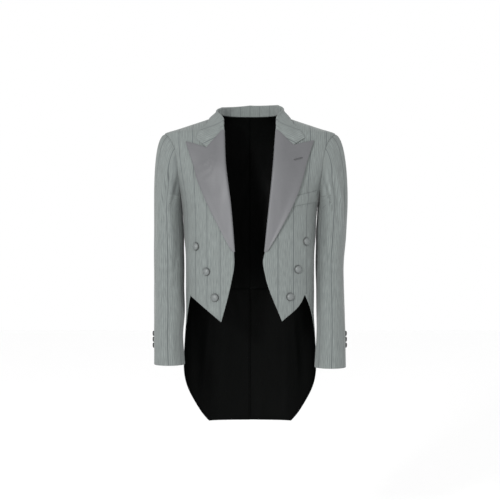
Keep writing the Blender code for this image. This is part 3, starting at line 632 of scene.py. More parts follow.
def cloth_wall(name, outer, inner, grain, materials, facing=0):
    """Closed wall of cloth between two matching grids, with a rounded edge all round.

    The edge is half a circle across the wall: each ring of it lies between the two faces and stands
    out by the sine of its place. The inner face takes the second material beyond its facing columns.
    """
    thickness = np.linalg.norm(ring_of(outer) - ring_of(inner), axis=-1).mean()
    radius = thickness / 2
    outer_in = drawn_in(outer, outer, radius * EDGE_SHARE - EDGE_CLOSES)
    inner_in = drawn_in(inner, outer, radius * EDGE_SHARE - EDGE_CLOSES)
    rows, columns = outer.shape[:2]
    count = rows * columns
    number = np.arange(count).reshape(rows, columns)
    cells = np.stack([number[:-1, :-1], number[1:, :-1], number[1:, 1:], number[:-1, 1:]], -1)
    outer_cells = cells.reshape(-1, 4)
    inner_cells = outer_cells[:, ::-1] + count
    loop = ring_of(number)
    away = ring_of(outer) - ring_of(outer_in)
    away = unit(away + 1e-12)
    share = np.linspace(0, 1, RIM_CELLS + 1)[1:-1, None, None]
    across = (1 - np.cos(np.pi * share)) / 2
    rings = (1 - across) * ring_of(outer_in) + across * ring_of(inner_in)
    rings = rings + away * np.sin(np.pi * share) * radius * EDGE_SHARE
    ring_numbers = 2 * count + np.arange(rings.shape[0] * len(loop)).reshape(-1, len(loop))
    steps = np.concatenate([loop[None], ring_numbers, loop[None] + count])
    ahead = np.roll(steps, -1, axis=1)
    rim = np.stack([steps[:-1], ahead[:-1], ahead[1:], steps[1:]], -1).reshape(-1, 4)
    points = np.concatenate([outer_in.reshape(-1, 3), inner_in.reshape(-1, 3), rings.reshape(-1, 3)])
    faces = np.concatenate([outer_cells, inner_cells, rim])
    if signed_volume(points, faces) < 0:
        faces = faces[:, ::-1]
    flat_grain = grain.reshape(-1, 2)
    edge_grain = np.broadcast_to(ring_of(grain), (rings.shape[0], len(loop), 2)).reshape(-1, 2)
    lined = np.broadcast_to(np.arange(columns - 1) >= facing, (rows - 1, columns - 1)).reshape(-1)
    lined_edge = ring_of(np.broadcast_to(np.arange(columns), (rows, columns))) >= facing
    lined_rim = np.arange(RIM_CELLS)[:, None] >= RIM_CELLS / 2
    kinds = np.concatenate([np.zeros(len(outer_cells)), lined, (lined_rim & lined_edge).reshape(-1)])
    if len(materials) == 1:
        kinds[:] = 0
    all_grain = np.concatenate([flat_grain, flat_grain, edge_grain])
    return put_mesh(name, points, faces.tolist(), all_grain, materials, kinds)


def round_from(side, start, turn, height):
    """Distance round the body at one height from a turn to a point, from 40 short steps."""
    steps = np.linspace(0, 1, 41).reshape((-1,) + (1,) * np.ndim(turn))
    points = body(side, start + (turn - start) * steps, height + 0 * steps)
    return np.linalg.norm(np.diff(points, axis=0), axis=-1).sum(0) * np.sign(turn - start)


def body_grain(side, grid, start):
    """Grain of a body piece: round the body at one height, turning into the plain distance from
    the centre line over the shoulders, and down."""
    turn, height = grid[..., 0], grid[..., 1]
    around = np.abs(round_from(side, start, turn, height))
    level = np.abs(body(side, turn, height)[..., 0])
    share = ease((-GRAIN_TURNS_BELOW - height) / GRAIN_TURNS_OVER)
    across = level + (around - level) * share if start != 90 else around
    across = (across - STRIPE_STARTS[side]) * STRIPE_SPREADS[side]
    return np.stack([across, height], -1)


def walked_along(points, axis):
    """Distance walked along one way of a grid, from its first row or column."""
    steps = np.linalg.norm(np.diff(points, axis=axis), axis=-1)
    start = np.zeros_like(np.take(steps, [0], axis=axis))
    return np.concatenate([start, np.cumsum(steps, axis=axis)], axis=axis)


def body_wall(name, side, grid, materials, thickness, outside=0.0, start=0.0, facing=0):
    """Wall on the body's surface: its outer face lies this far outside the coat's own."""
    turn, height = grid[..., 0], grid[..., 1]
    normal = body_normal(side, turn, height)
    outer = body(side, turn, height) + normal * np.asarray(outside)[..., None]
    grain = body_grain(side, grid, start)
    inner = outer - normal * np.asarray(thickness)[..., None]
    return cloth_wall(name, outer, inner, grain, materials, facing)


def neckline(side):
    """(turn, height) from the shoulder neck point down the side of the neck to the roll line."""
    height, from_centre = ROLL_LINES[side][0]
    end = (turn_at(height, from_centre), height)
    return curve_through([(90.0, 0.0), *NECK_SIDE, end], NECKLINE_CELLS)


def forepart_seam(side):
    start = armhole(np.array([float(FOREPART_SEAM_START)]))[0]
    low = (FOREPART_SEAM_TURNS[1], WAIST_HEIGHT)
    middle = (FOREPART_SEAM_TURNS[0], (start[1] + WAIST_HEIGHT) / 2)
    return curve_through([start, middle, low], SIDE_SEAM_CELLS)


def back_seam():
    start = tuple(armhole(np.array([float(BACK_SEAM_START)]))[0])
    return curve_through([start] + [(turn, height) for height, turn in BACK_SEAM], SIDE_SEAM_CELLS)


def tail_seam():
    return straight((TAIL_SEAM_TURNS[0], WAIST_HEIGHT), (TAIL_SEAM_TURNS[1], TAIL_HEM_HEIGHT), TAIL_CELLS)


def forepart_grid(side):
    """Front: neckline, roll line and front edge on one side, armhole and side seam on the other."""
    edge = joined(
        neckline(side),
        front_curve(ROLL_LINES[side], ROLL_CELLS),
        front_curve(FRONT_EDGES[side], FRONT_EDGE_CELLS),
    )
    outer_edge = joined(armhole(armhole_turns(0, FOREPART_SEAM_START)), forepart_seam(side))
    hem = front_curve(FRONT_HEMS[side], FOREPART_COLUMNS - WAIST_COLUMNS)
    bottom = joined(hem, straight(hem[-1], outer_edge[-1], WAIST_COLUMNS))
    return patch(edge, outer_edge, straight(edge[0], outer_edge[0], FOREPART_COLUMNS), bottom)


def sidebody_grid(side):
    top = armhole(armhole_turns(FOREPART_SEAM_START, BACK_SEAM_START))
    front, back = forepart_seam(side), back_seam()
    return patch(front, back, top, straight(front[-1], back[-1], len(top) - 1))


def vent_stand_off(side, turn, height):
    """How far the wearer's left tail stands out, so that it laps over the right one."""
    if side == RIGHT:
        return np.zeros(np.shape(turn))
    below = ease((WAIST_HEIGHT + VENT_STAND_RISE - height) / VENT_STAND_RISE)
    near = 1 - ease((turn - VENT_STAND_TURNS[0]) / (VENT_STAND_TURNS[1] - VENT_STAND_TURNS[0]))
    return VENT_STAND_OFF * below * near


def back_grid(side):
    """Back from the shoulder to the tail hem, with its strip of the tail. Down the centre back it
    is a seam to the waist and then the edge of the vent."""
    armhole_edge = armhole(armhole_turns(BACK_SEAM_START, 360)[::-1])
    outer_edge = joined(armhole_edge, back_seam(), tail_seam())
    above_cells = len(armhole_edge) - 1 + SIDE_SEAM_CELLS
    above = straight((0.0, 0.0), (0.0, WAIST_HEIGHT), above_cells)
    lap_turn = -np.degrees(VENT_LAP / SECTIONS[-1][3]) if side == LEFT else 0.0
    vent_top = (lap_turn, WAIST_HEIGHT - VENT_TOP_DROP)
    turning = straight(above[-1], vent_top, FINE)
    below = straight(vent_top, (lap_turn, TAIL_HEM_HEIGHT), TAIL_CELLS - FINE)
    centre = joined(above, turning, below)
    neck_point = (90.0, 0.0)
    neck = straight(centre[0], neck_point, BACK_NECK_CELLS)
    top = joined(neck, straight(neck_point, outer_edge[0], BACK_SHOULDER_CELLS))
    bottom = straight(centre[-1], outer_edge[-1], len(top) - 1)
    return patch(centre, outer_edge, top, bottom, top_fade=BACK_TOP_FADE)


def tail_edge(side):
    """(turn, height) down the free front edge of a tail, from the waist seam to its lower corner."""
    height, from_centre = FRONT_HEMS[side][-1]
    table = [(turn_at(height, from_centre), height)]
    table += [(turn, edge_height) for edge_height, turn in TAIL_EDGE_TURNS[side]]
    table += [(TAIL_CORNER_TURN, TAIL_HEM_HEIGHT)]
    return curve_through(table, TAIL_CELLS)


def skirt_grid(side):
    """Side of the tail, from the waist seam to the hem."""
    front, seam = tail_edge(side), tail_seam()
    corner = (FOREPART_SEAM_TURNS[1], WAIST_HEIGHT)
    waist = joined(
        straight(front[0], corner, SKIRT_FRONT_COLUMNS),
        straight(corner, seam[0], SKIRT_COLUMNS - SKIRT_FRONT_COLUMNS),
    )
    return patch(front, seam, waist, straight(front[-1], seam[-1], SKIRT_COLUMNS))


def lining_grid(side):
    """Lining of a tail: the side of the tail and the back's strip of it, held back from the free
    edges."""
    strip = back_grid(side)[-(TAIL_CELLS + 1) :]
    start = np.maximum(strip[:, :1, 0], 0) + LINING_VENT_TURN
    columns = 4 * FINE
    share = np.linspace(1, 0, columns + 1)[1:]
    inner = strip[:, :1].repeat(columns, axis=1)
    inner[..., 0] = start + (strip[:, -1:, 0] - start) * share
    inner[..., 1] = strip[:, :1, 1] + (strip[:, -1:, 1] - strip[:, :1, 1]) * share
    lined = np.concatenate([skirt_grid(side), inner], axis=1)
    reach = np.linspace(0, 1, lined.shape[1])[:, None]
    hold = (1 - reach) ** LINING_HOLD
    lined[:, :, 0] -= hold[:, 0] * np.degrees(LINING_SETBACK / LINING_REACH)
    rise = np.linspace(0, 1, lined.shape[0])[:, None] ** LINING_HOLD
    lined[:, :, 1] += rise * LINING_SETBACK
    return lined


def sleeve_ring(side, turn, height):
    """Round a sleeve at one height: an oval that the folds make fuller or slacker."""
    table = SLEEVES[side]
    shape = smooth(height, [row[0] for row in table], [row[1:] for row in table])
    outer, inner, centre, half_depth = np.moveaxis(shape, -1, 0)
    angle = np.radians(turn)
    swell = folds(SLEEVE_FOLDS, turn % 360, height) + ripple(turn, height)
    across = (outer + inner) / 2 + ((outer - inner) / 2 + swell) * np.cos(angle)
    return np.stack([side * across, centre - (half_depth + swell) * np.sin(angle), height], -1)


def sleeve(side, turn, run):
    """Point of a sleeve: run 0 to 1 is the head, a cubic from the armhole to the tube, and 1 to 2
    the tube down to the cuff. The creases move each point out from the sleeve's own middle."""
    turn, run = np.broadcast_arrays(np.asarray(turn, float), np.asarray(run, float))
    angle = np.radians(turn)
    cuff = SLEEVES[side][-1][0]
    height = SLEEVE_HEAD_END + (cuff - SLEEVE_HEAD_END) * np.clip(run - 1, 0, 1)
    tube = sleeve_ring(side, turn, height)
    end = sleeve_ring(side, turn, np.full(turn.shape, SLEEVE_HEAD_END))
    down = unit(sleeve_ring(side, turn, np.full(turn.shape, SLEEVE_HEAD_END - HEAD_STEP)) - end)
    place = armhole(turn)
    hole = body(side, place[..., 0], place[..., 1])
    top = np.cos(angle / 2)[..., None] ** 2
    outward, forward, up = np.moveaxis(top * HEAD_LEAVES_TOP + (1 - top) * HEAD_LEAVES_FOOT, -1, 0)
    leave = unit(np.stack([side * outward, -forward * np.sin(angle), up], -1))
    normal = body_normal(side, place[..., 0], place[..., 1])
    start = hole + SEAM_GAP * unit(leave + normal) - ARMHOLE_VALLEY * normal
    length = np.linalg.norm(end - start, axis=-1, keepdims=True)
    share = np.clip(run, 0, 1)[..., None]
    head = (
        (1 + 2 * share) * (1 - share) ** 2 * start
        + share * (1 - share) ** 2 * length * HEAD_FULLNESS * leave
        + share**2 * (3 - 2 * share) * end
        + share**2 * (share - 1) * length * HEAD_DROP * down
    )
    points = np.where(run[..., None] < 1, head, tube)
    creases = SLEEVE_CREASE_DEPTH * folds(SLEEVE_CREASES[side], turn % 360, points[..., 2])
    depth = creases * ease(run / SLEEVE_CREASE_START)
    out = np.stack([side * np.cos(angle), -np.sin(angle), 0 * angle], -1)
    inward = ease((np.cos(angle) + SLEEVE_INNER_REACH) / SLEEVE_INNER_REACH)
    inward_room = SLEEVE_INNER_ROOM + (1 - SLEEVE_INNER_ROOM) * inward
    return points + out * (depth * inward_room)[..., None]


def sleeve_normal(side, turn, run):
    step = 0.002
    by_turn = sleeve(side, turn + 0.1, run) - sleeve(side, turn - 0.1, run)
    by_run = sleeve(side, turn, run + step) - sleeve(side, turn, np.maximum(run - step, 0))
    return unit(np.cross(by_run, by_turn)) * -side


def sleeve_grain(side, turn, points):
    """Distance of each point round the sleeve from the middle of its front.

    On the tube it goes by the turn. In the head it goes by the level distance from the sleeve's
    outermost line, so that the stripes run up to the shoulder side by side with that line.
    """
    around = np.linspace(0, 180, 181)
    runs = np.linspace(0, 1, 61)
    outermost = sleeve(side, 0 * runs, runs)[::-1]
    height = points[..., 2]
    line_x = np.interp(height, outermost[:, 2], outermost[:, 0])
    line_y = np.interp(height, outermost[:, 2], outermost[:, 1])
    away = np.hypot(points[..., 0] - line_x, points[..., 1] - line_y)
    by_turn, by_distance = [], []
    for way in (1, -1):
        ring = sleeve_ring(side, way * around, np.full(around.shape, SLEEVE_HEAD_END))
        walked = walked_along(ring, 0)
        chord = np.maximum.accumulate(np.linalg.norm(ring - ring[:1], axis=-1)) + walked * 0.001
        signed = (way * turn + 180) % 360 - 180
        by_turn.append(way * np.interp(signed, around, walked))
        by_distance.append(way * np.interp(away, chord, walked))
    forward = (turn + 180) % 360 - 180 > 0
    quarter = np.linspace(0, 90, 91)
    start = walked_along(sleeve_ring(side, quarter, np.full(quarter.shape, SLEEVE_HEAD_END)), 0)[-1]
    in_head = ease((height - SLEEVE_HEAD_END) / SLEEVE_GRAIN_TURNS_OVER)
    tube = np.where(forward, by_turn[0], by_turn[1])
    head = np.where(points[..., 1] < line_y, by_distance[0], by_distance[1])
    return tube + (head - tube) * in_head - start


def sleeve_piece(name, side, turns, materials, thickness):
    """Length of a sleeve between two seams, whose turns change evenly from armhole to cuff."""
    head = np.linspace(0, 1, SLEEVE_HEAD_CELLS + 1)
    run = joined(head, np.linspace(1, 2, SLEEVE_TUBE_CELLS + 1))[:, None]
    (first_top, first_low), (last_top, last_low) = turns
    share = np.linspace(0, 1, round((last_top - first_top) / ARMHOLE_STEP) + 1)[None]
    first = first_top + (first_low - first_top) * run / 2
    last = last_top + (last_low - last_top) * run / 2
    turn = first + (last - first) * share
    run = np.broadcast_to(run, turn.shape)
    outer = sleeve(side, turn, run)
    grain = np.stack([sleeve_grain(side, turn, outer), -walked_along(outer, 0)], -1)
    inner = outer - thickness * sleeve_normal(side, turn, run)
    return cloth_wall(name, outer, inner, grain, materials)


def edge_frames(side):
    """Along the coat's edge from centre back round the neck and down the roll line: its points,
    the way out of the cloth, the way across it from the edge, and where the turned cloth starts."""
    neck = straight((0.0, 0.0), (90.0, 0.0), BACK_NECK_CELLS)
    places = joined(neck, neckline(side), front_curve(ROLL_LINES[side], ROLL_CELLS))
    points = body(side, places[:, 0], places[:, 1])
    ahead = np.gradient(np.concatenate([points[1:2] * (-1, 1, 1), points]), axis=0)[1:]
    normal = body_normal(side, places[:, 0], places[:, 1])
    left = (BACK_NECK_CELLS + NECKLINE_CELLS - np.arange(len(places))) / NECKLINE_CELLS
    upright = ease(left)[:, None]
    rise = unit(normal * (1 - upright) + np.array([0, 0, 1.0]) * upright)
    across = unit(np.cross(ahead, rise)) * -side
    wall = bpy.context.scene.tailcoat.cloth_thickness
    foot = -wall + (wall + 2 * SEAM_GAP) * upright[:, 0]
    return places, points, rise, across, foot


def turned_wall(side, base, frames, stand, roll, rest, fall_power, lift=0):
    """Cloth that leaves an edge of the coat, rises, turns over in a round fold and lies down.

    Each row crosses the edge: it climbs the stand, follows a quarter circle of the fold's radius,
    and then keeps a height above the coat's surface that falls from the fold to the free edge.
    """
    _, points, rise, across, foot = frames
    climb = np.linspace(0, 1, STAND_CELLS + 1)[:-1, None]
    angles = np.radians(np.linspace(180, 90, ARC_CELLS + 1))[:-1, None]
    shares = np.linspace(0, 1, base.shape[1])
    settle = ease(shares * 2)[:, None]
    point, up, over = points[:, None], rise[:, None], across[:, None]
    ground = body(side, base[..., 0], base[..., 1])
    normal = body_normal(side, base[..., 0], base[..., 1])
    lean = unit(up * (1 - settle) + normal * settle)
    clear = rest + (stand + roll - rest)[:, None] * (1 - shares**fall_power) + lift
    shift = ((roll - SEAM_GAP)[:, None] * (1 - shares) ** 2)[..., None] * over
    faces = []
    for thickness in (bpy.context.scene.tailcoat.lapel_thickness, 0.0):
        start = point - over * (SEAM_GAP + thickness)
        climbed = foot[:, None, None] + climb * (stand - foot)[:, None, None]
        centre = point + over * (roll - SEAM_GAP)[:, None, None] + up * stand[:, None, None]
        reach = (roll + thickness)[:, None, None]
        arc = centre + reach * (np.cos(angles) * over + np.sin(angles) * up)
        fall = ground + (clear + thickness)[..., None] * lean + shift
        faces.append(np.concatenate([start + up * climbed, arc, fall], axis=1))
    return faces


def gorge(side, end, cells):
    """(turn, height) from the top of the roll line to the notch and on to a point beyond it."""
    places = (ROLL_LINES[side][0], NOTCHES[side], end)
    start, notch, point = (np.array((turn_at(*place), place[0])) for place in places)
    return joined(straight(start, notch, GORGE_CELLS), straight(notch, point, cells))


def lapel_surface(side):
    """Both faces of a lapel: its outer edge, gorge and peak, with its soft diagonal creases."""
    frames = [values[BACK_NECK_CELLS + NECKLINE_CELLS :] for values in edge_frames(side)]
    outer_edge = front_curve(LAPEL_EDGES[side], ROLL_CELLS)
    top = gorge(side, PEAKS[side], NOTCH_CELLS)
    bottom = straight(frames[0][-1], outer_edge[-1], len(top) - 1)
    base = patch(frames[0], outer_edge, top, bottom)
    down = np.linspace(0, 1, len(base))
    shares = np.linspace(0, 1, base.shape[1])
    lift = np.zeros(base.shape[:2])
    for row, column, row_reach, column_reach, slant, height in LAPEL_LIFTS[side]:
        along = (down[:, None] - row - slant * (shares - column)) / row_reach
        across = (shares - column) / column_reach
        lift = lift + height * np.exp(-(along**2) - across**2)
    roll = ROLL_RADIUS + (ROLL_FOOT_RADIUS - ROLL_RADIUS) * down**3
    return turned_wall(side, base, frames, 0 * down, roll, LAPEL_EDGE_REST, LAPEL_FALL, lift)


def collar_half(side):
    frames = [values[: BACK_NECK_CELLS + NECKLINE_CELLS + 1] for values in edge_frames(side)]
    neck = frames[0]
    end = gorge(side, COLLAR_CORNERS[side], NOTCH_CELLS)
    at = np.linspace(0, len(neck) // FINE, len(neck))
    places = [row[0] for row in COLLAR_OUTER] + [at[-1]]
    points = np.array([row[1:] for row in COLLAR_OUTER] + [tuple(end[-1])])
    outer_edge = smooth(at, places, points)
    top = straight(neck[0], outer_edge[0], len(end) - 1)
    base = patch(neck, outer_edge, top, end, bottom_fade=COLLAR_END_FADE)
    stand_places, stand_heights = zip(*COLLAR_STANDS[side])
    stand = smooth(at, stand_places, stand_heights)
    roll = np.full(len(neck), COLLAR_ROLL_RADIUS)
    return turned_wall(side, base, frames, stand, roll, COLLAR_EDGE_REST, COLLAR_FALL)


def dome(name, width, height, outline, place, normal, material):
    """Button: half an outline carried round an axis that stands out of the cloth.

    A point of the outline at reach r and rise h, turned by t, lies at place + r cos t along one way
    of the cloth + r sin t along the other + h along the axis.
    """
    axis = np.asarray(normal, float)
    first = unit(np.cross(axis, (0, 0, 1.0)))
    second = np.cross(axis, first)
    profile = np.array(outline[1:-1])
    turn = np.linspace(0, 2 * math.pi, BUTTON_TURNS, endpoint=False)
    reach = profile[:, :1] * width / 2
    rise = profile[:, 1:] * height
    flat = reach[..., None] * (np.cos(turn)[:, None] * first + np.sin(turn)[:, None] * second)
    rings = flat + rise[..., None] * axis
    top, foot = outline[0][1] * height * axis, 0 * axis
    points = np.concatenate([rings.reshape(-1, 3), [top, foot]]) + place
    count = len(profile)
    number = np.arange(count * BUTTON_TURNS).reshape(count, BUTTON_TURNS)
    ahead = np.roll(number, -1, axis=1)
    sides = np.stack([number[:-1], number[1:], ahead[1:], ahead[:-1]], -1).reshape(-1, 4)
    crown = np.stack([np.full(BUTTON_TURNS, number.size), number[0], ahead[0]], -1)
    under = np.stack([np.full(BUTTON_TURNS, number.size + 1), ahead[-1], number[-1]], -1)
    shares = np.concatenate([np.repeat(profile[:, 0], BUTTON_TURNS), [0, 0]])
    around = np.concatenate([np.tile(turn, count), [0, 0]])
    grain = np.stack([shares * np.cos(around), shares * np.sin(around)], -1) * width / 2
    faces = [*sides.tolist(), *crown.tolist(), *under.tolist()]
    corners = np.concatenate([sides, crown[:, [0, 1, 2, 2]], under[:, [0, 1, 2, 2]]])
    if signed_volume(points, corners) < 0:
        faces = [face[::-1] for face in faces]
    return put_mesh(name, points, faces, grain, [material])


class NodeTable:
    """Adds nodes to a material and joins them, so that a finish reads as a list of steps."""

    def __init__(self, name):
        self.material = bpy.data.materials.new(name)
        self.material.use_nodes = True
        self.tree = self.material.node_tree
        self.shader = self.tree.nodes["Principled BSDF"]

    def fill(self, socket, value):
        """Joins another node's output to a socket, or sets the socket to a plain value."""
        if isinstance(value, bpy.types.NodeSocket):
            self.tree.links.new(value, socket)
        else:
            socket.default_value = value

    def put(self, kind, values=None, **settings):
        node = self.tree.nodes.new(kind)
        for name, value in settings.items():
            setattr(node, name, value)
        for name, value in (values or {}).items():
            self.fill(node.inputs[name], value)
        return node

    def grain(self):
        """Across and down the cloth, in metres."""
        place = self.put("ShaderNodeUVMap", uv_map=GRAIN)
        split = self.put("ShaderNodeSeparateXYZ", {"Vector": place.outputs["UV"]})
        return split.outputs["X"], split.outputs["Y"]

    def maths(self, operation, *values):
        return self.put("ShaderNodeMath", dict(enumerate(values)), operation=operation).outputs[0]

    def times(self, first, second):
        return self.maths("MULTIPLY", first, second)

    def added(self, first, second):
        return self.maths("ADD", first, second)

    def ramp(self, value, start, end, low, high, kind="SMOOTHSTEP"):
        """Low to high while the value goes from start to end."""
        values = {"Value": value, "From Min": start, "From Max": end, "To Min": low, "To Max": high}
        return self.put("ShaderNodeMapRange", values, interpolation_type=kind).outputs["Result"]

    def ranged(self, noise, low, high):
        """Low to high over the middle part of a noise, where nearly all of it lies."""
        return self.ramp(noise, *NOISE_MIDDLE, low, high, "LINEAR")

    def line(self, across, pitch, width):
        """1 on the middle of a stripe, 0 beyond its width, repeated at a pitch."""
        away = self.maths("PINGPONG", self.added(across, pitch / 2), pitch / 2)
        return self.ramp(self.maths("SUBTRACT", pitch / 2, away), 0.0, width, 1.0, 0.0)

    def streaks(self, across, down, across_scale, down_scale, detail=2.0):
        """Noise drawn out along the cloth, 0 to 1."""
        stretched = {"X": self.times(across, across_scale), "Y": self.times(down, down_scale)}
        place = self.put("ShaderNodeCombineXYZ", stretched).outputs["Vector"]
        values = {"Vector": place, "Scale": 1.0, "Detail": detail}
        return self.put("ShaderNodeTexNoise", values).outputs["Fac"]

    def mixed(self, share, first, second):
        return self.put("ShaderNodeMix", {0: share, 6: first, 7: second}, data_type="RGBA").outputs[2]

    def shaded(self, share, tint, dark, pale):
        """A tint between a darker and a paler shade of itself."""
        return self.mixed(share, colour(tint, dark), colour(tint, pale))

    def finished(self, base, roughness, height, depth, strength, **values):
        """Joins the colour, roughness and relief to the shader and sets its other values."""
        relief = self.put("ShaderNodeBump", {"Height": height, "Distance": depth, "Strength": strength})
        values = {"Base_Color": base, "Roughness": roughness, "Normal": relief.outputs["Normal"], **values}
        for name, value in values.items():
            self.fill(self.shader.inputs[name.replace("_", " ")], value)


def colour(values, share=1.0):
    return tuple(value * share for value in values[:3]) + (1.0,)


def finish(name):
    """A finish is made once, under its own name, and worn by every piece that asks for it."""

    def keep(make):
        def found(settings):
            if name not in bpy.data.materials:
                make(NodeTable(name), settings)
            return bpy.data.materials[name]

        return found

    return keep


@finish("striped_wool_finish")
def striped_wool(table, settings):
    """Grey worsted: fine twill, close self stripes and streaks, and a thin dark stripe."""
    wool, stripe, pitch = settings.wool_colour, colour(settings.stripe_colour), settings.stripe_pitch
    across, down = table.grain()
    streak = table.streaks(across, down, 560.0, 40.0, 3.0)
    slow = table.streaks(across, down, 22.0, 9.0)
    fine = table.line(across, pitch / 8, 0.0011)
    finer = table.line(across, pitch / 24, 0.0006)
    dark = table.line(across, pitch, settings.stripe_width)
    base = table.shaded(table.ranged(streak, 0, 1), wool, 0.74, 1.22)
    base = table.mixed(table.times(table.ranged(slow, 0, 1), 0.10), base, colour(wool, 0.85))
    for line, share, tint in ((fine, 0.46, stripe), (finer, 0.12, colour(wool, 1.2)), (dark, 0.72, stripe)):
        base = table.mixed(table.times(line, share), base, tint)
    slant = table.maths("PINGPONG", table.added(across, down), TWILL_PITCH / 2)
    twill = table.maths("DIVIDE", slant, TWILL_PITCH / 2)
    height = table.added(table.times(twill, 0.5), table.times(streak, 0.8))
    height = table.added(height, table.times(finer, 0.5))
    roughness = table.ranged(streak, 0.78, 0.92)
    sheen = {"Sheen_Weight": 0.18, "Sheen_Roughness": 0.45, "Specular_IOR_Level": 0.25}
    table.finished(base, roughness, height, 0.00025, 0.6, **sheen)


@finish("lapel_satin_finish")
def lapel_satin(table, settings):
    """Smooth silk facing, with a fine rib across it and a soft sheen."""
    satin = settings.satin_colour
    across, down = table.grain()
    rib = table.line(down, 0.0009, 0.0005)
    slow = table.streaks(across, down, 30.0, 18.0)
    thread = table.streaks(across, down, 60.0, 1200.0)
    base = table.shaded(table.ranged(thread, 0, 1), satin, 0.95, 1.05)
    base = table.mixed(table.times(table.ranged(slow, 0, 1), 0.14), base, colour(satin, 0.8))
    # Painted light: paler towards the foot of the lapel, and a painted highlight along its fold
    base = table.mixed(table.ramp(down, -0.05, -0.30, 0.0, 0.34), base, colour(satin, 1.6))
    base = table.mixed(table.ramp(across, 0.012, 0.045, 0.22, 0.0), base, colour(satin, 1.5))
    height = table.added(table.times(rib, 0.4), table.times(thread, 0.5))
    sheen = {"Sheen_Weight": 0.25, "Sheen_Roughness": 0.35, "Specular_IOR_Level": 0.45}
    table.finished(base, table.ranged(slow, 0.50, 0.60), height, 0.00012, 0.5, **sheen)


@finish("black_lining_finish")
def black_lining(table, settings):
    """Black satin lining, with small soft puckers."""
    across, down = table.grain()
    slow = table.streaks(across, down, 45.0, 16.0)
    thread = table.streaks(across, down, 900.0, 40.0)
    base = table.shaded(table.ranged(thread, 0, 1), settings.lining_colour, 0.8, 1.3)
    height = table.added(slow, table.times(thread, 0.1))
    table.finished(base, table.ranged(slow, 0.42, 0.58), height, 0.0012, 0.5, Specular_IOR_Level=0.03)


@finish("button_cloth_finish")
def button_cloth(table, settings):
    """Satin drawn over a button, with a fine weave that shows where it turns, and painted shade near its rim.
    """
    across, down = table.grain()
    weave = table.added(table.line(across, 0.0008, 0.0004), table.line(down, 0.0008, 0.0004))
    slow = table.streaks(across, down, 240.0, 240.0)
    base = table.shaded(table.ranged(slow, 0, 1), settings.button_colour, 0.92, 1.06)
    squares = table.added(table.times(across, across), table.times(down, down))
    # Painted shade near the rim, where the cloth turns down
    rim = table.ramp(table.maths("SQRT", squares), 0.0088, 0.0108, 0.0, 0.95)
    base = table.mixed(rim, base, colour(settings.button_colour, 0.3))
    sheen = {"Sheen_Weight": 0.2, "Sheen_Roughness": 0.35, "Specular_IOR_Level": 0.5}
    table.finished(base, table.ranged(slow, 0.26, 0.36), weave, 0.0001, 0.5, **sheen)


@finish("cuff_button_horn")
def polished_horn(table, settings):
    """Polished horn or moulded plastic of the cuff buttons, faintly streaked."""
    across, down = table.grain()
    slow = table.streaks(across, down, 500.0, 160.0)
    base = table.shaded(table.ranged(slow, 0, 1), settings.cuff_button_colour, 0.8, 1.25)
    coat = {"Specular_IOR_Level": 0.5, "Coat_Weight": 0.2, "Coat_Roughness": 0.15}
    table.finished(base, table.ranged(slow, 0.22, 0.34), slow, 0.00008, 0.4, **coat)


@finish("buttonhole_twist_finish")
def buttonhole_twist(table, settings):
    """Silk twist of the worked buttonhole, its stitches side by side."""
    across, down = table.grain()
    stitch = table.line(across, 0.0007, 0.00035)
    # Painted shade between the stitches, and painted light on their middles
    base = table.shaded(stitch, settings.satin_colour, 0.35, 0.75)
    roughness = table.ranged(table.streaks(across, down, 1500.0, 300.0), 0.45, 0.6)
    sheen = {"Sheen_Weight": 0.2, "Sheen_Roughness": 0.4, "Specular_IOR_Level": 0.4}
    table.finished(base, roughness, stitch, 0.0003, 0.8, **sheen)


def declare(node):
    """Hides the solid that a piece stands for."""
    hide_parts(node)


def wool_panels(settings, kind, grid_of, start=0.0, facing=0, lapped=False):
    """One kind of wool panel on each side of the body, with the lining's black inside."""
    materials = [striped_wool(settings), black_lining(settings)]
    for side, name in SIDE_NAMES.items():
        grid = grid_of(side)
        outside, thickness = 0.0, settings.cloth_thickness
        if lapped:
            outside = vent_stand_off(side, grid[..., 0], grid[..., 1])
            # Turnings fill the centre seam where it starts to stand out above the vent
            thickness = thickness + outside * (grid[..., 1] > WAIST_HEIGHT - SEAM_GAP)
        obj = body_wall(f"{kind}_{name}_cloth", side, grid, materials, thickness, outside, start, facing)
        declare(f"{kind}_{name}")


def measure(label, text, default):
    return FloatProperty(name=label, description=text, default=default, unit="LENGTH", precision=4)


def tint(label, text, default):
    return FloatVectorProperty(name=label, description=text, default=default, subtype="COLOR", size=3)


class TailcoatSettings(bpy.types.PropertyGroup):
    """Sizes and colours of the tailcoat that a user would change."""

    cloth_thickness: measure("Cloth", "Thickness of the wool", 0.0020)
    lapel_thickness: measure("Lapel", "Thickness of the faced lapel", 0.0022)
    lining_thickness: measure("Lining", "Thickness of the tail lining", 0.0010)
    stripe_pitch: measure("Stripe pitch", "From one dark stripe to the next", 0.045)
    stripe_width: measure("Stripe width", "Half the width of a dark stripe", 0.0026)
    front_button_width: measure("Front button", "Width of a covered button", 0.0230)
    front_button_height: measure("Front button height", "Height of a covered button", 0.0080)
    cuff_button_width: measure("Cuff button", "Width of a cuff button", 0.0150)
    cuff_button_height: measure("Cuff button height", "Height of a cuff button", 0.0055)
    wool_colour: tint("Wool", "Colour of the wool", (0.152, 0.169, 0.164))
    stripe_colour: tint("Stripe", "Colour of the dark stripe", (0.056, 0.063, 0.065))
    satin_colour: tint("Satin", "Colour of the lapel facing", (0.088, 0.089, 0.094))
    lining_colour: tint("Lining", "Colour of the lining", (0.0010, 0.0012, 0.0011))
    button_colour: tint("Covered button", "Colour of the button cloth", (0.118, 0.129, 0.128))
    cuff_button_colour: tint("Cuff button", "Colour of the cuff buttons", (0.004, 0.0045, 0.0045))
    floor_colour: tint("Floor", "Colour of the floor", (0.985, 0.985, 0.985))


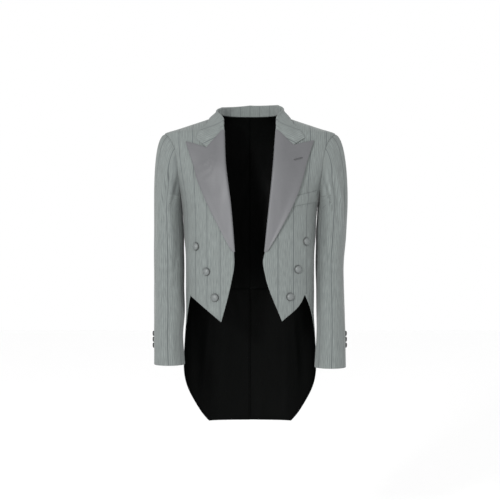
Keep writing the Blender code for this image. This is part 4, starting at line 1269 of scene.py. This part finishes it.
class Step:
    """What the operators share: each does its own work, and one that adds no object is an error."""

    def execute(self, context):
        before = len(bpy.data.objects)
        self.make(context.scene.tailcoat)
        if len(bpy.data.objects) == before:
            raise RuntimeError(f"{self.bl_label}: nothing was made")
        return {"FINISHED"}


class TAILCOAT_OT_stage(Step, bpy.types.Operator):
    """Floor, soft studio light and the camera at the photograph's angle"""

    bl_idname = "tailcoat.stage"
    bl_label = "Stage"

    def make(self, settings):
        scene = bpy.context.scene
        table = NodeTable("studio_floor")
        place = table.put("ShaderNodeTexCoord").outputs["Object"]
        grain = table.put("ShaderNodeTexNoise", {"Vector": place, "Scale": FLOOR_GRAIN}).outputs["Fac"]
        base = table.shaded(grain, settings.floor_colour, 0.985, 1.0)
        table.fill(table.shader.inputs["Base Color"], base)
        table.fill(table.shader.inputs["Roughness"], 0.9)
        mesh = bpy.data.meshes.new("studio_floor")
        ways = ((-1, -1), (1, -1), (1, 1), (-1, 1))
        corners = [(x * FLOOR_REACH, y * FLOOR_REACH, FLOOR_HEIGHT) for x, y in ways]
        mesh.from_pydata(corners, [], [(0, 1, 2, 3)])
        mesh.materials.append(table.material)
        floor = bpy.data.objects.new("studio_floor", mesh)
        scene.collection.objects.link(floor)
        world = bpy.data.worlds.new("studio_world")
        world.use_nodes = True
        world.node_tree.nodes["Background"].inputs["Color"].default_value = (1.0, 1.0, 1.0, 1.0)
        world.node_tree.nodes["Background"].inputs["Strength"].default_value = 1.0
        scene.world = world
        for name, location, size, power in LAMPS:
            light = bpy.data.lights.new(name, "AREA")
            light.size = size
            light.energy = power
            lamp = bpy.data.objects.new(name, light)
            lamp.location = location
            aim = np.array(LAMP_AIM) - np.array(location)
            yaw = math.atan2(aim[1], aim[0]) - math.pi / 2
            tilt = math.atan2(aim[2], math.hypot(aim[0], aim[1])) + math.pi / 2
            lamp.rotation_euler = (tilt, 0, yaw)
            scene.collection.objects.link(lamp)
        data = bpy.data.cameras.new("photograph_camera")
        data.lens = CAMERA_LENS
        data.sensor_width = 36.0
        camera = bpy.data.objects.new("photograph_camera", data)
        camera.location = CAMERA_PLACE
        camera.rotation_euler = (math.radians(90), 0, 0)
        scene.collection.objects.link(camera)
        scene.camera = camera
        scene.view_settings.view_transform = "Standard"


class TAILCOAT_OT_foreparts(Step, bpy.types.Operator):
    """Both foreparts, from the shoulder to the pointed front"""

    bl_idname = "tailcoat.foreparts"
    bl_label = "Foreparts"

    def make(self, settings):
        wool_panels(settings, "forepart", forepart_grid, start=180, facing=FOREPART_FACING)


class TAILCOAT_OT_sidebodies(Step, bpy.types.Operator):
    """Both panels under the arms"""

    bl_idname = "tailcoat.sidebodies"
    bl_label = "Sidebodies"

    def make(self, settings):
        wool_panels(settings, "sidebody", sidebody_grid, start=90)


class TAILCOAT_OT_backs(Step, bpy.types.Operator):
    """Both backs, each with its strip of the tail down to the hem"""

    bl_idname = "tailcoat.backs"
    bl_label = "Backs"

    def make(self, settings):
        wool_panels(settings, "back", back_grid, lapped=True)


class TAILCOAT_OT_skirts(Step, bpy.types.Operator):
    """Sides of the tails, below the waist seam"""

    bl_idname = "tailcoat.skirts"
    bl_label = "Sides of the tails"

    def make(self, settings):
        wool_panels(settings, "skirt", skirt_grid)


class TAILCOAT_OT_tail_linings(Step, bpy.types.Operator):
    """Black lining inside each tail"""

    bl_idname = "tailcoat.tail_linings"
    bl_label = "Tail linings"

    def make(self, settings):
        materials = [black_lining(settings)]
        for side, name in SIDE_NAMES.items():
            node = f"tail_lining_{name}"
            grid = lining_grid(side)
            inside = vent_stand_off(side, grid[..., 0], grid[..., 1])
            inside = inside - settings.cloth_thickness - LINING_GAP
            obj = body_wall(f"{node}_cloth", side, grid, materials, settings.lining_thickness, inside)
            declare(node)


class TAILCOAT_OT_sleeves(Step, bpy.types.Operator):
    """Top and under sleeve of each arm"""

    bl_idname = "tailcoat.sleeves"
    bl_label = "Sleeves"

    def make(self, settings):
        materials = [striped_wool(settings), black_lining(settings)]
        back_top, back_low = BACK_SEAM_TURNS
        over = ((back_top - 360, back_low - 360), FRONT_SEAM_TURNS)
        under = (FRONT_SEAM_TURNS, BACK_SEAM_TURNS)
        for side, name in SIDE_NAMES.items():
            for kind, turns in (("sleeve_top", over), ("sleeve_under", under)):
                node = f"{kind}_{name}"
                obj = sleeve_piece(f"{node}_cloth", side, turns, materials, settings.cloth_thickness)
                declare(node)


class TAILCOAT_OT_lapels(Step, bpy.types.Operator):
    """Both peaked lapels, faced with satin"""

    bl_idname = "tailcoat.lapels"
    bl_label = "Lapels"

    def make(self, settings):
        materials = [lapel_satin(settings), striped_wool(settings)]
        for side, name in SIDE_NAMES.items():
            outer, inner = lapel_surface(side)
            grain = np.stack([walked_along(outer, 1), -walked_along(outer, 0)], -1)
            obj = cloth_wall(f"lapel_{name}_cloth", outer, inner, grain, materials)
            declare(f"lapel_{name}")


class TAILCOAT_OT_collar(Step, bpy.types.Operator):
    """Stand and fall of the collar in one, from one gorge seam to the other"""

    bl_idname = "tailcoat.collar"
    bl_label = "Collar"

    def make(self, settings):
        right, left = collar_half(RIGHT), collar_half(LEFT)
        outer, inner = (np.concatenate([right[face][:0:-1], left[face]]) for face in (0, 1))
        turned = np.arctan2(np.abs(outer[..., 0]), outer[..., 1])
        below = np.minimum(outer[..., 2] + COLLAR_GRAIN_DROPS_FROM, 0) * COLLAR_GRAIN_DROP
        across = COLLAR_GRAIN_REACH * turned - below
        grain = np.stack([across, walked_along(outer, 1)], -1)
        obj = cloth_wall("collar_cloth", outer, inner, grain, [striped_wool(settings)])
        declare("collar")


class TAILCOAT_OT_breast_welt(Step, bpy.types.Operator):
    """Band over the mouth of the breast pocket, on the wearer's left"""

    bl_idname = "tailcoat.breast_welt"
    bl_label = "Breast welt"

    def make(self, settings):
        top, bottom = (
            straight(*(np.array((turn_at(*place), place[0])) for place in edge), WELT_COLUMNS)
            for edge in (WELT_TOP, WELT_BOTTOM)
        )
        first, last = (straight(top[end], bottom[end], WELT_ROWS) for end in (0, -1))
        grid = patch(first, last, top, bottom)
        down = np.linspace(0, 1, WELT_ROWS + 1)[:, None]
        across = np.linspace(0, 1, WELT_COLUMNS + 1)
        crown = WELT_CROWN * np.sin(np.pi * down) * np.sin(np.pi * across) ** 0.5
        outside = np.full(grid.shape[:2], WELT_GAP + WELT_WALL) + crown
        materials = [striped_wool(settings)]
        obj = body_wall("breast_welt_cloth", LEFT, grid, materials, WELT_WALL, outside, start=180)
        declare("breast_welt")


def put_button(node, kind, slot, width, height, outline, place, normal, material):
    obj = dome(f"{node}_{kind}", width, height, outline, place, normal, material)
    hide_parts(node)


class TAILCOAT_OT_covered_buttons(Step, bpy.types.Operator):
    """Three covered buttons on each front and one on each side of the back waist"""

    bl_idname = "tailcoat.covered_buttons"
    bl_label = "Covered buttons"

    def make(self, settings):
        size = (settings.front_button_width, settings.front_button_height, COVERED_OUTLINE)
        for side, places in FRONT_BUTTON_PLACES.items():
            name = SIDE_NAMES[side]
            spots = [
                (f"front_button_{name}_{number}", turn_at(*place), place[0])
                for number, place in enumerate(places, 1)
            ]
            spots.append((f"back_button_{name}", BACK_BUTTON_TURN, BACK_BUTTON_HEIGHT))
            for node, turn, height in spots:
                normal = body_normal(side, turn, height)
                outside = vent_stand_off(side, turn, height) + BUTTON_SEAT + LAID_GAP
                place = body(side, turn, height) + normal * outside
                put_button(node, "covered", "covered_button", *size, place, normal, button_cloth(settings))


class TAILCOAT_OT_cuff_buttons(Step, bpy.types.Operator):
    """Three small buttons on the outer back edge of each cuff"""

    bl_idname = "tailcoat.cuff_buttons"
    bl_label = "Cuff buttons"

    def make(self, settings):
        size = (settings.cuff_button_width, settings.cuff_button_height, HORN_OUTLINE)
        turn = np.array(float(CUFF_BUTTON_TURN))
        for side, name in SIDE_NAMES.items():
            cuff = SLEEVES[side][-1][0]
            for number, height in enumerate(CUFF_BUTTON_HEIGHTS, 1):
                run = np.array(1 + (height - SLEEVE_HEAD_END) / (cuff - SLEEVE_HEAD_END))
                normal = sleeve_normal(side, turn, run)
                place = sleeve(side, turn, run) + normal * LAID_GAP
                node = f"cuff_button_{name}_{number}"
                put_button(node, "horn", "cuff_button", *size, place, normal, polished_horn(settings))


class TAILCOAT_OT_buttonhole(Step, bpy.types.Operator):
    """Worked buttonhole near the peak of the wearer's left lapel"""

    bl_idname = "tailcoat.buttonhole"
    bl_label = "Lapel buttonhole"

    def make(self, settings):
        start, end = (np.array((from_centre, height)) for height, from_centre in BUTTONHOLE_ENDS)
        along = unit(end - start)
        across = np.array((-along[1], along[0]))
        half = np.linalg.norm(end - start) / 2
        turn = np.linspace(0, 2 * math.pi, BUTTONHOLE_POINTS, endpoint=False)[:, None]
        rounded = np.sign(np.sin(turn)) * (1 - np.cos(turn) ** 8) ** 0.5
        oval = (start + end) / 2 + half * np.cos(turn) * along + BUTTONHOLE_HALF_WIDTH * rounded * across
        outer, _ = lapel_surface(LEFT)
        normals = unit(np.cross(np.gradient(outer, axis=0), np.gradient(outer, axis=1)))
        normals = normals * np.sign(-normals[..., 1:2])
        falls, fall_normals = (grid[:, STAND_CELLS + ARC_CELLS :].reshape(-1, 3) for grid in (outer, normals))
        gaps = np.linalg.norm(falls[None][:, :, [0, 2]] - oval[:, None], axis=-1)
        nearest = np.argsort(gaps, axis=1)[:, :BUTTONHOLE_NEAREST]
        weight = 1 / (np.take_along_axis(gaps, nearest, axis=1) + 1e-6) ** 2
        weight = weight / weight.sum(axis=1, keepdims=True)
        depth = (falls[nearest][..., 1] * weight).sum(axis=1)
        normal = unit((fall_normals[nearest] * weight[..., None]).sum(axis=1))
        path = np.stack([oval[:, 0], depth, oval[:, 1]], -1) + normal * BUTTONHOLE_BEAD * 0.5
        ahead = unit(np.roll(path, -1, axis=0) - np.roll(path, 1, axis=0))
        beside = unit(np.cross(ahead, normal))
        ring = np.linspace(0, 2 * math.pi, BUTTONHOLE_SIDES, endpoint=False)
        flat = np.cos(ring)[:, None] * beside[:, None] + np.sin(ring)[:, None] * normal[:, None]
        points = (path[:, None] + BUTTONHOLE_BEAD * flat).reshape(-1, 3)
        number = np.arange(len(path) * len(ring)).reshape(len(path), len(ring))
        next_row, next_column = np.roll(number, -1, axis=0), np.roll(number, -1, axis=1)
        faces = np.stack([number, next_row, np.roll(next_row, -1, axis=1), next_column], -1).reshape(-1, 4)
        if signed_volume(points, faces) < 0:
            faces = faces[:, ::-1]
        walked = np.linspace(0, 4 * half, len(path))[:, None].repeat(len(ring), axis=1)
        grain = np.stack([walked, 0 * walked + ring * BUTTONHOLE_BEAD], -1).reshape(-1, 2)
        materials = [buttonhole_twist(settings)]
        obj = put_mesh("lapel_buttonhole_left", points, faces.tolist(), grain, materials)


STEPS = (
    TAILCOAT_OT_stage,
    TAILCOAT_OT_foreparts,
    TAILCOAT_OT_sidebodies,
    TAILCOAT_OT_backs,
    TAILCOAT_OT_skirts,
    TAILCOAT_OT_tail_linings,
    TAILCOAT_OT_sleeves,
    TAILCOAT_OT_lapels,
    TAILCOAT_OT_collar,
    TAILCOAT_OT_breast_welt,
    TAILCOAT_OT_covered_buttons,
    TAILCOAT_OT_cuff_buttons,
    TAILCOAT_OT_buttonhole,
)


class TAILCOAT_PT_panel(bpy.types.Panel):
    """Lists the steps that make the tailcoat, with its sizes and colours"""

    bl_idname = "TAILCOAT_PT_panel"
    bl_label = "White tie tailcoat"
    bl_space_type = "VIEW_3D"
    bl_region_type = "UI"
    bl_category = "Tailcoat"

    def draw(self, context):
        for step in STEPS:
            self.layout.operator(step.bl_idname)
        for name in TailcoatSettings.__annotations__:
            self.layout.prop(context.scene.tailcoat, name)


CLASSES = (TailcoatSettings, *STEPS, TAILCOAT_PT_panel)


def register():
    for kind in CLASSES:
        bpy.utils.register_class(kind)
    bpy.types.Scene.tailcoat = PointerProperty(type=TailcoatSettings)


def unregister():
    del bpy.types.Scene.tailcoat
    for kind in reversed(CLASSES):
        bpy.utils.unregister_class(kind)


def main():
    register()
    bpy.ops.tailcoat.stage()
    bpy.ops.tailcoat.foreparts()
    bpy.ops.tailcoat.sidebodies()
    bpy.ops.tailcoat.backs()
    bpy.ops.tailcoat.skirts()
    bpy.ops.tailcoat.tail_linings()
    bpy.ops.tailcoat.sleeves()
    bpy.ops.tailcoat.lapels()
    bpy.ops.tailcoat.collar()
    bpy.ops.tailcoat.breast_welt()
    bpy.ops.tailcoat.covered_buttons()
    bpy.ops.tailcoat.cuff_buttons()
    bpy.ops.tailcoat.buttonhole()


if __name__ == "__main__":
    main()
